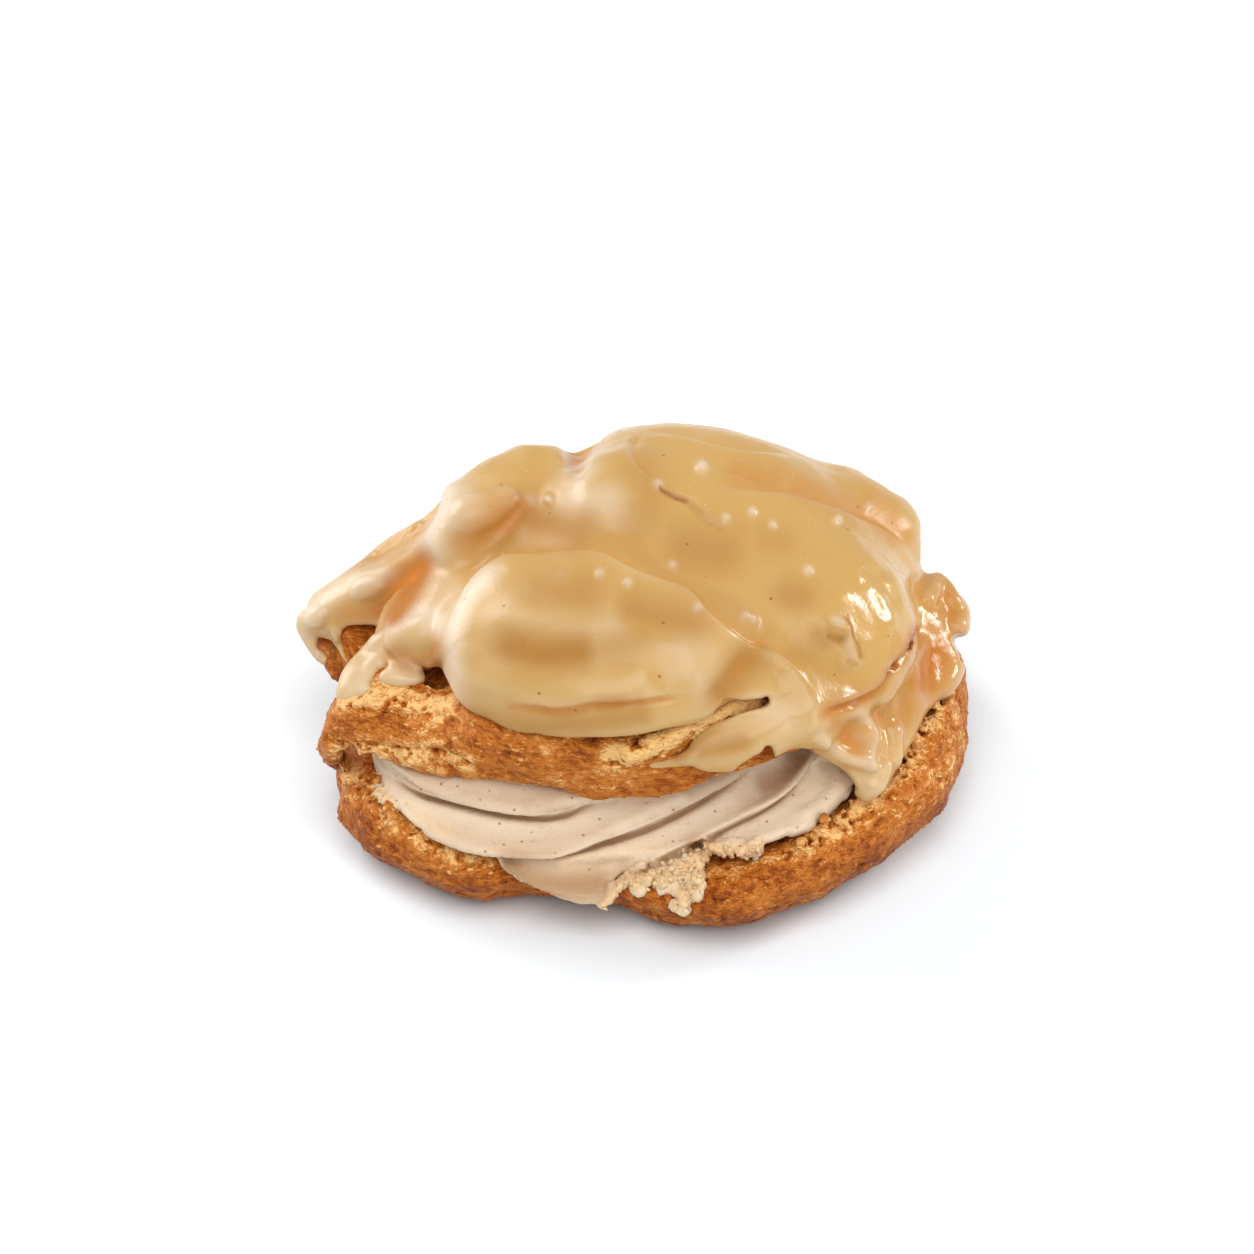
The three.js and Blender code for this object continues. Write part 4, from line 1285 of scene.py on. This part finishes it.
def strew_tree():
    """Strews grains over a skin, more where its value called density is higher, each with its own tint."""
    tree = bpy.data.node_groups.new("strewn grains", "GeometryNodeTree")
    for name, kind in STREW_INPUTS.items():
        tree.interface.new_socket(name, in_out="INPUT", socket_type=kind)
    tree.interface.new_socket("Grains", in_out="OUTPUT", socket_type="NodeSocketGeometry")

    def add(kind, inputs, **settings):
        made = tree.nodes.new(kind)
        for key, value in settings.items():
            setattr(made, key, value)
        for key, source in inputs.items():
            socket = next(item for item in made.inputs if item.enabled and item.name == key)
            if isinstance(source, bpy.types.NodeSocket):
                tree.links.new(source, socket)
            else:
                socket.default_value = source
        return next((item for item in made.outputs if item.enabled), None), made

    entry = tree.nodes.new("NodeGroupInput").outputs
    skin = add("GeometryNodeObjectInfo", {"Object": entry["Surface"]})[1].outputs["Geometry"]
    density = add("GeometryNodeInputNamedAttribute", {"Name": "density"}, data_type="FLOAT")[0]
    amount = tree.nodes.new("ShaderNodeMath")
    amount.operation = "MULTIPLY"
    tree.links.new(density, amount.inputs[0])
    tree.links.new(entry["Per area"], amount.inputs[1])
    spots = add("GeometryNodeDistributePointsOnFaces",
                {"Mesh": skin, "Density": amount.outputs[0], "Seed": entry["Seed"]})[1].outputs
    across = tree.nodes.new("ShaderNodeVectorMath")
    across.operation = "CROSS_PRODUCT"
    across.inputs[1].default_value = (0.0, 0.0, 1.0)
    tree.links.new(spots["Normal"], across.inputs[0])
    along = add("FunctionNodeAlignRotationToVector",
                {"Rotation": spots["Rotation"], "Vector": across.outputs[0]}, axis="X", pivot_axis="Z")[0]
    most = add("ShaderNodeCombineXYZ", {"X": entry["Lean"], "Y": entry["Lean"], "Z": entry["Turn"]})[0]
    least = add("ShaderNodeVectorMath", {"Vector": most, "Scale": -1.0}, operation="SCALE")[0]
    turn = add("FunctionNodeRandomValue", {"Min": least, "Max": most, "Seed": 1}, data_type="FLOAT_VECTOR")[0]
    turned = add("FunctionNodeEulerToRotation", {"Euler": turn})[0]
    rotation = add("FunctionNodeRotateRotation",
                   {"Rotation": along, "Rotate By": turned}, rotation_space="LOCAL")[0]
    size = add("FunctionNodeRandomValue", {"Min": entry["Smallest"], "Max": entry["Largest"], "Seed": 2})[0]
    shapes = add("GeometryNodeCollectionInfo",
                 {"Collection": entry["Shapes"], "Separate Children": True, "Reset Children": True})[0]
    grains = add("GeometryNodeInstanceOnPoints",
                 {"Points": spots["Points"], "Instance": shapes, "Pick Instance": True, "Rotation": rotation,
                  "Scale": size})[0]
    tint = add("FunctionNodeRandomValue", {"Min": entry["Least"], "Max": entry["Most"], "Seed": 3})[0]
    tinted = add("GeometryNodeStoreNamedAttribute", {"Geometry": grains, "Name": "tint", "Value": tint},
                 data_type="FLOAT", domain="INSTANCE")[0]
    real = add("GeometryNodeRealizeInstances", {"Geometry": tinted})[0]
    painted = add("GeometryNodeSetMaterial", {"Geometry": real, "Material": entry["Material"]})[0]
    tree.links.new(painted, tree.nodes.new("NodeGroupOutput").inputs["Grains"])
    return tree


def strewn(name, surface, grains):
    """Grains strewn over a piece in its own material, as a plain mesh of their own."""
    shapes = [grain_shape(shape) for shape in grains.shapes]
    tree = bpy.data.node_groups.get("strewn grains") or strew_tree()
    group = bpy.data.collections.new("grains")
    for shape in shapes:
        group.objects.link(shape)
    piece = bpy.data.objects.new(name, bpy.data.meshes.new("rough"))
    bpy.context.scene.collection.objects.link(piece)
    strew = piece.modifiers.new("strew", "NODES")
    strew.node_group = tree
    values = {
        "Surface": surface, "Shapes": group, "Material": surface.data.materials[0],
        "Per area": grains.per_area / MM ** 2, "Smallest": grains.smallest * MM,
        "Largest": grains.largest * MM, "Lean": grains.lean, "Turn": grains.turn,
        "Least": grains.least, "Most": grains.most, "Seed": grains.seed,
    }
    for item in tree.interface.items_tree:
        if item.in_out == "INPUT":
            strew[item.identifier] = values[item.name]
    mesh = evaluated_mesh(piece)
    rough = piece.data
    piece.modifiers.clear()
    piece.data = mesh
    mesh.name = name
    bpy.data.meshes.remove(rough)
    for shape in shapes:
        drop(shape)
    bpy.data.collections.remove(group)
    return piece


def keep(piece, node=None):
    """Hands a finished piece to the frame."""
    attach(piece, "root")
    if node:
        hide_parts(node)


def node_trees(*names):
    """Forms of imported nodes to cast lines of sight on."""
    trees = []
    for name in names:
        points, faces = node_skin(name)
        trees.append(BVHTree.FromPolygons(points.tolist(), faces.tolist()))
    return trees


def choux_piece(look, clay, crumb, shift, node, hidden):
    """Gives a choux form its crust and hands it over with its flakes."""
    away = clay.away()
    torn = smoothstep(0.15, 0.45, noise_values(clay.points + shift, TORN_PATCH_SIZE, 2))
    crumb = np.maximum(crumb, 0.8 * away * torn * smoothstep(8.0, 16.0, clay.points[:, 2]))
    clay.grow(away * rough(clay.points - shift, CHOUX_FAR_SIDE))
    relief = crust_relief(clay.points, shift)
    height = (look.crag * relief.lumps + look.wrinkle * relief.wrinkles + look.flake * relief.flakes) / MM
    pores = crumb * smoothstep(0.5, 0.15, relief.pores)
    clay.grow(height - look.pore / MM * pores)
    clay.points[:, 2] = np.maximum(clay.points[:, 2], 0.0)
    above = clay.points[:, 2]
    # The crust is lighter on wrinkles and flakes, has painted shade in its pores and hollows, and is darker
    # towards the ground and a little lighter towards the top.
    light = 0.4 + 0.2 * relief.wrinkles + 0.18 * relief.flakes - 0.45 * pores
    light = light - 0.4 * smoothstep(0.05, 0.5, clay.sunken(rounds=6))
    light = light - 0.14 * smoothstep(15.0, 2.0, above) + 0.07 * smoothstep(18.0, 27.0, above)
    patchy = 0.2 + 0.3 * noise_values(clay.points, FLAKE_PATCH_SIZE, 2)
    bare = (hidden & (crumb < 0.3)) | (above < 1.0)
    density = np.where(bare, 0.0, np.clip(patchy + 0.6 * crumb, 0.1, 1.0))
    material = bpy.data.materials.get("choux crust") or choux_material(look)
    piece = piece_from(clay, node + "_crust", material, {"relief": light, "crumb": crumb, "density": density})
    thin_covered(piece, hidden)
    keep(piece, node)
    keep(strewn(node + "_flakes", piece, FLAKES))


class PUFF_OT_choux_base(bpy.types.Operator):
    """Makes the lower half of the choux"""

    bl_idname = "puff.choux_base"
    bl_label = "Lower half"

    def execute(self, context):
        look = context.scene.puff_choux
        trees = node_trees("choux_base")
        form = carved(form_of("choux_base", rounds=8), [scoop_skin(BASE_SCOOPS, trees)])
        clay = clay_from([form] + crumble_skins(BASE_CRUMBLES, trees, seed=5), look.grain / MM).main_part()
        clay.points = clay.smoothed(rounds=3)
        clay.draw(BASE_NUDGES)
        clay.settle()
        hidden = covered(clay, node_trees("cream")) | (clay.points[:, 2] < 0.05)
        choux_piece(look, clay, clay.dabs(BASE_CRUMB), np.zeros(3), "choux_base", hidden)
        return {"FINISHED"}


class PUFF_OT_choux_lid(bpy.types.Operator):
    """Makes the upper half of the choux"""

    bl_idname = "puff.choux_lid"
    bl_label = "Upper half"

    def execute(self, context):
        look = context.scene.puff_choux
        trees = node_trees(*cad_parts)
        form = clay_from([form_of("choux_lid", rounds=8)] + strand_skins(LID_STRANDS, trees), STRAND_GRAIN)
        form = carved(form.skin(), [scoop_skin(LID_SCOOPS, trees)])
        clay = clay_from([form], look.grain / MM).main_part()
        clay.points = clay.smoothed(rounds=4)
        clay.draw(TOP_NUDGES)
        clay.settle()
        hidden = covered(clay, node_trees("icing", "cream"))
        clay.draw(LID_STROKES, LID_FOLDS)
        choux_piece(look, clay, clay.dabs(LID_CRUMB), LID_NOISE_SHIFT, "choux_lid", hidden)
        return {"FINISHED"}


class PUFF_OT_cream(bpy.types.Operator):
    """Makes the folded cream filling"""

    bl_idname = "puff.cream"
    bl_label = "Cream"

    def execute(self, context):
        look = context.scene.puff_cream
        trees = node_trees("cream", "choux_base")
        strands = strand_skins(CREAM_STRANDS, trees)
        form = clay_from([form_of("cream", rounds=4)] + strands, CREAM_STRAND_GRAIN)
        form = carved(form.skin(), [scoop_skin(CREAM_SCOOPS, trees)])
        clay = clay_from([form] + crumble_skins(CREAM_CRUMBLES, trees, seed=3), look.grain / MM).main_part()
        clay.points = clay.smoothed(rounds=2)
        clay.grow(look.swell / MM)
        clay.settle()
        hidden = covered(clay, node_trees("choux_lid", "choux_base"))
        clay.draw(CREAM_STROKES, CREAM_FOLDS)
        torn = clay.dabs(CREAM_TORN)
        # Painted shadow under the folds' edges, behind the lip, under the lid and in the creases of the far
        # side's layers.
        under = np.maximum(clay.under(CREAM_FOLDS), clay.dabs(CREAM_SHADE))
        away = clay.away()
        turns = np.arctan2(clay.points[:, 1], clay.points[:, 0]) / (2.0 * math.pi)
        rise = clay.points[:, 2] / LAYER_PITCH + turns + rough(clay.points, LAYER_WAVER)
        below_top = 1.0 - (rise - np.floor(rise))
        clay.grow(away * (LAYER_HEIGHT * below_top ** 2 - LAYER_SINK))
        under = np.maximum(under, away * np.exp(-(below_top / LAYER_CREASE) ** 2))
        clay.grow(rough(clay.points, CREAM_GRAIN) + torn * rough(clay.points, CREAM_TORN_GRAIN))
        places = {
            # The hollow value paints shade into the cream's hollows.
            "hollow": clay.sunken(rounds=8), "torn": torn, "density": smoothstep(0.35, 0.8, torn),
            "tan": clay.dabs(CREAM_PAINTED_SHADE), "under": under,
        }
        piece = piece_from(clay, "cream_filling", cream_material(look), places)
        thin_covered(piece, hidden)
        keep(piece, "cream")
        keep(strewn("cream_crumbs", piece, CRUMBS))
        return {"FINISHED"}


class PUFF_OT_icing(bpy.types.Operator):
    """Makes the poured icing with its folds, drips and drape"""

    bl_idname = "puff.icing"
    bl_label = "Icing"

    def execute(self, context):
        look = context.scene.puff_icing
        trees = node_trees(*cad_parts)
        form = clay_from([form_of("icing", rounds=14)] + strand_skins(ICING_STRANDS, trees), STRAND_GRAIN)
        form.points = form.smoothed(rounds=3)
        form = carved(form.skin(), [scoop_skin(ICING_SCOOPS, trees)])
        clay = clay_from([form], look.grain / MM).main_part()
        clay.points = clay.smoothed(rounds=5)
        clay.grow(look.swell / MM)
        clay.draw(TOP_NUDGES)
        clay.settle()
        hidden = covered(clay, node_trees("choux_lid", "choux_base"))
        places = {label: clay.dabs(lines) for label, lines in ICING_PAINTS.items()}
        # Small rises are bubbles, and they get a painted highlight.
        small = {name: rise for name, rise in ICING_SWELLS.items() if rise.width < LARGEST_BUBBLE}
        bubbles = {name: Stroke(rise.pixels, 0.9 * rise.width, 0.7) for name, rise in small.items()}
        places["pale"] = np.maximum(places["pale"], clay.dabs(bubbles))
        clay.draw(ICING_STROKES, ICING_FOLDS)
        ripples = clay.dabs(ICING_RIPPLED) * rough(clay.points, ICING_RIPPLES)
        away = clay.away()
        clay.grow(rough(clay.points, ICING_WAVES) + ripples)
        clay.grow(away * rough(clay.points, ICING_FAR_SIDE))
        for label, shift in FAR_STAIN_SHIFTS.items():
            spread = smoothstep(-0.1, 0.7, noise_values(clay.points + shift, FAR_STAIN_SIZE, 1))
            places[label] = np.maximum(places[label], FAR_STAIN_SHARE * away * spread)
        clay.points = clay.smoothed(rounds=10)
        # The sunken value paints shade into the creases and light onto the crests.
        places["hollow"] = clay.sunken(rounds=60) * (1.0 - 0.7 * away)
        clay.draw(ICING_WORM, ICING_SWELLS)
        clay.points = clay.smoothed(rounds=1)
        places["density"] = np.where(hidden, 0.0, smoothstep(0.2, 0.6, clay.normals()[:, 2]))
        piece = piece_from(clay, "icing_coat", icing_material(look), places)
        thin_covered(piece, hidden)
        keep(piece, "icing")
        keep(strewn("icing_bubbles", piece, BUBBLES))
        return {"FINISHED"}


class PUFF_OT_stage(bpy.types.Operator):
    """Sets the floor, the lights and the camera"""

    bl_idname = "puff.stage"
    bl_label = "Stage"

    def execute(self, context):
        look = context.scene.puff_stage
        scene = context.scene
        half = look.floor_size / 2
        mesh = bpy.data.meshes.new("floor")
        corners = [(-half, -half, 0.0), (half, -half, 0.0), (half, half, 0.0), (-half, half, 0.0)]
        mesh.from_pydata(corners, [], [(0, 1, 2, 3)])
        shader = Shader("pale floor")
        shader.surface.inputs["Base Color"].default_value = (*look.floor, 1.0)
        shader.surface.inputs["Roughness"].default_value = 0.9
        shader.surface.inputs["Specular IOR Level"].default_value = 0.0
        mesh.materials.append(shader.material)
        floor = bpy.data.objects.new("floor", mesh)
        scene.collection.objects.link(floor)
        world = bpy.data.worlds.new("studio")
        world.use_nodes = True
        world.node_tree.nodes["Background"].inputs["Color"].default_value = (1.0, 1.0, 1.0, 1.0)
        world.node_tree.nodes["Background"].inputs["Strength"].default_value = WORLD_STRENGTH
        scene.world = world
        for name, box in SOFTBOXES.items():
            soft_light(name, box)
        lens = bpy.data.cameras.new("photo camera")
        lens.lens = CAMERA_LENS
        lens.sensor_width = CAMERA_SENSOR
        lens.clip_start = 0.01
        camera = bpy.data.objects.new("photo camera", lens)
        camera.location = CAMERA_PLACE * MM
        camera.rotation_euler = (math.pi / 2 - CAMERA_TILT, 0.0, 0.0)
        scene.collection.objects.link(camera)
        scene.camera = camera
        scene.view_settings.view_transform = "Standard"
        return {"FINISHED"}


def soft_light(name, box):
    """A round softbox that faces the puff."""
    light = bpy.data.lights.new(name, "AREA")
    light.shape = "DISK"
    light.size = box.size
    light.energy = box.power
    holder = bpy.data.objects.new(name, light)
    holder.location = box.place
    aim = LIGHT_TARGET - Vector(box.place)
    holder.rotation_euler = aim.to_track_quat("-Z", "Y").to_euler()
    bpy.context.scene.collection.objects.link(holder)


OPERATORS = (PUFF_OT_stage, PUFF_OT_choux_base, PUFF_OT_choux_lid, PUFF_OT_cream, PUFF_OT_icing)
LOOKS = {"puff_icing": IcingLook, "puff_choux": ChouxLook, "puff_cream": CreamLook, "puff_stage": StageLook}


class PUFF_PT_panel(bpy.types.Panel):
    """Lists the pieces of the cream puff"""

    bl_idname = "PUFF_PT_panel"
    bl_label = "Cream puff"
    bl_space_type = "VIEW_3D"
    bl_region_type = "UI"
    bl_category = "Cream puff"

    def draw(self, context):
        for operator in OPERATORS:
            self.layout.operator(operator.bl_idname)
        for label, look in LOOKS.items():
            box = self.layout.box()
            settings = getattr(context.scene, label)
            for key in look.__annotations__:
                box.prop(settings, key)


CLASSES = (*LOOKS.values(), *OPERATORS, PUFF_PT_panel)


def register():
    """Makes the operators, the panel and the settings known to Blender."""
    for kind in CLASSES:
        bpy.utils.register_class(kind)
    for label, look in LOOKS.items():
        setattr(bpy.types.Scene, label, PointerProperty(type=look))


def unregister():
    """Takes back what register did."""
    for label in LOOKS:
        delattr(bpy.types.Scene, label)
    for kind in reversed(CLASSES):
        bpy.utils.unregister_class(kind)


def main():
    """Makes the stage and every piece."""
    register()
    bpy.ops.puff.stage()
    bpy.ops.puff.choux_base()
    bpy.ops.puff.choux_lid()
    bpy.ops.puff.cream()
    bpy.ops.puff.icing()


if __name__ == "__main__":
    main()
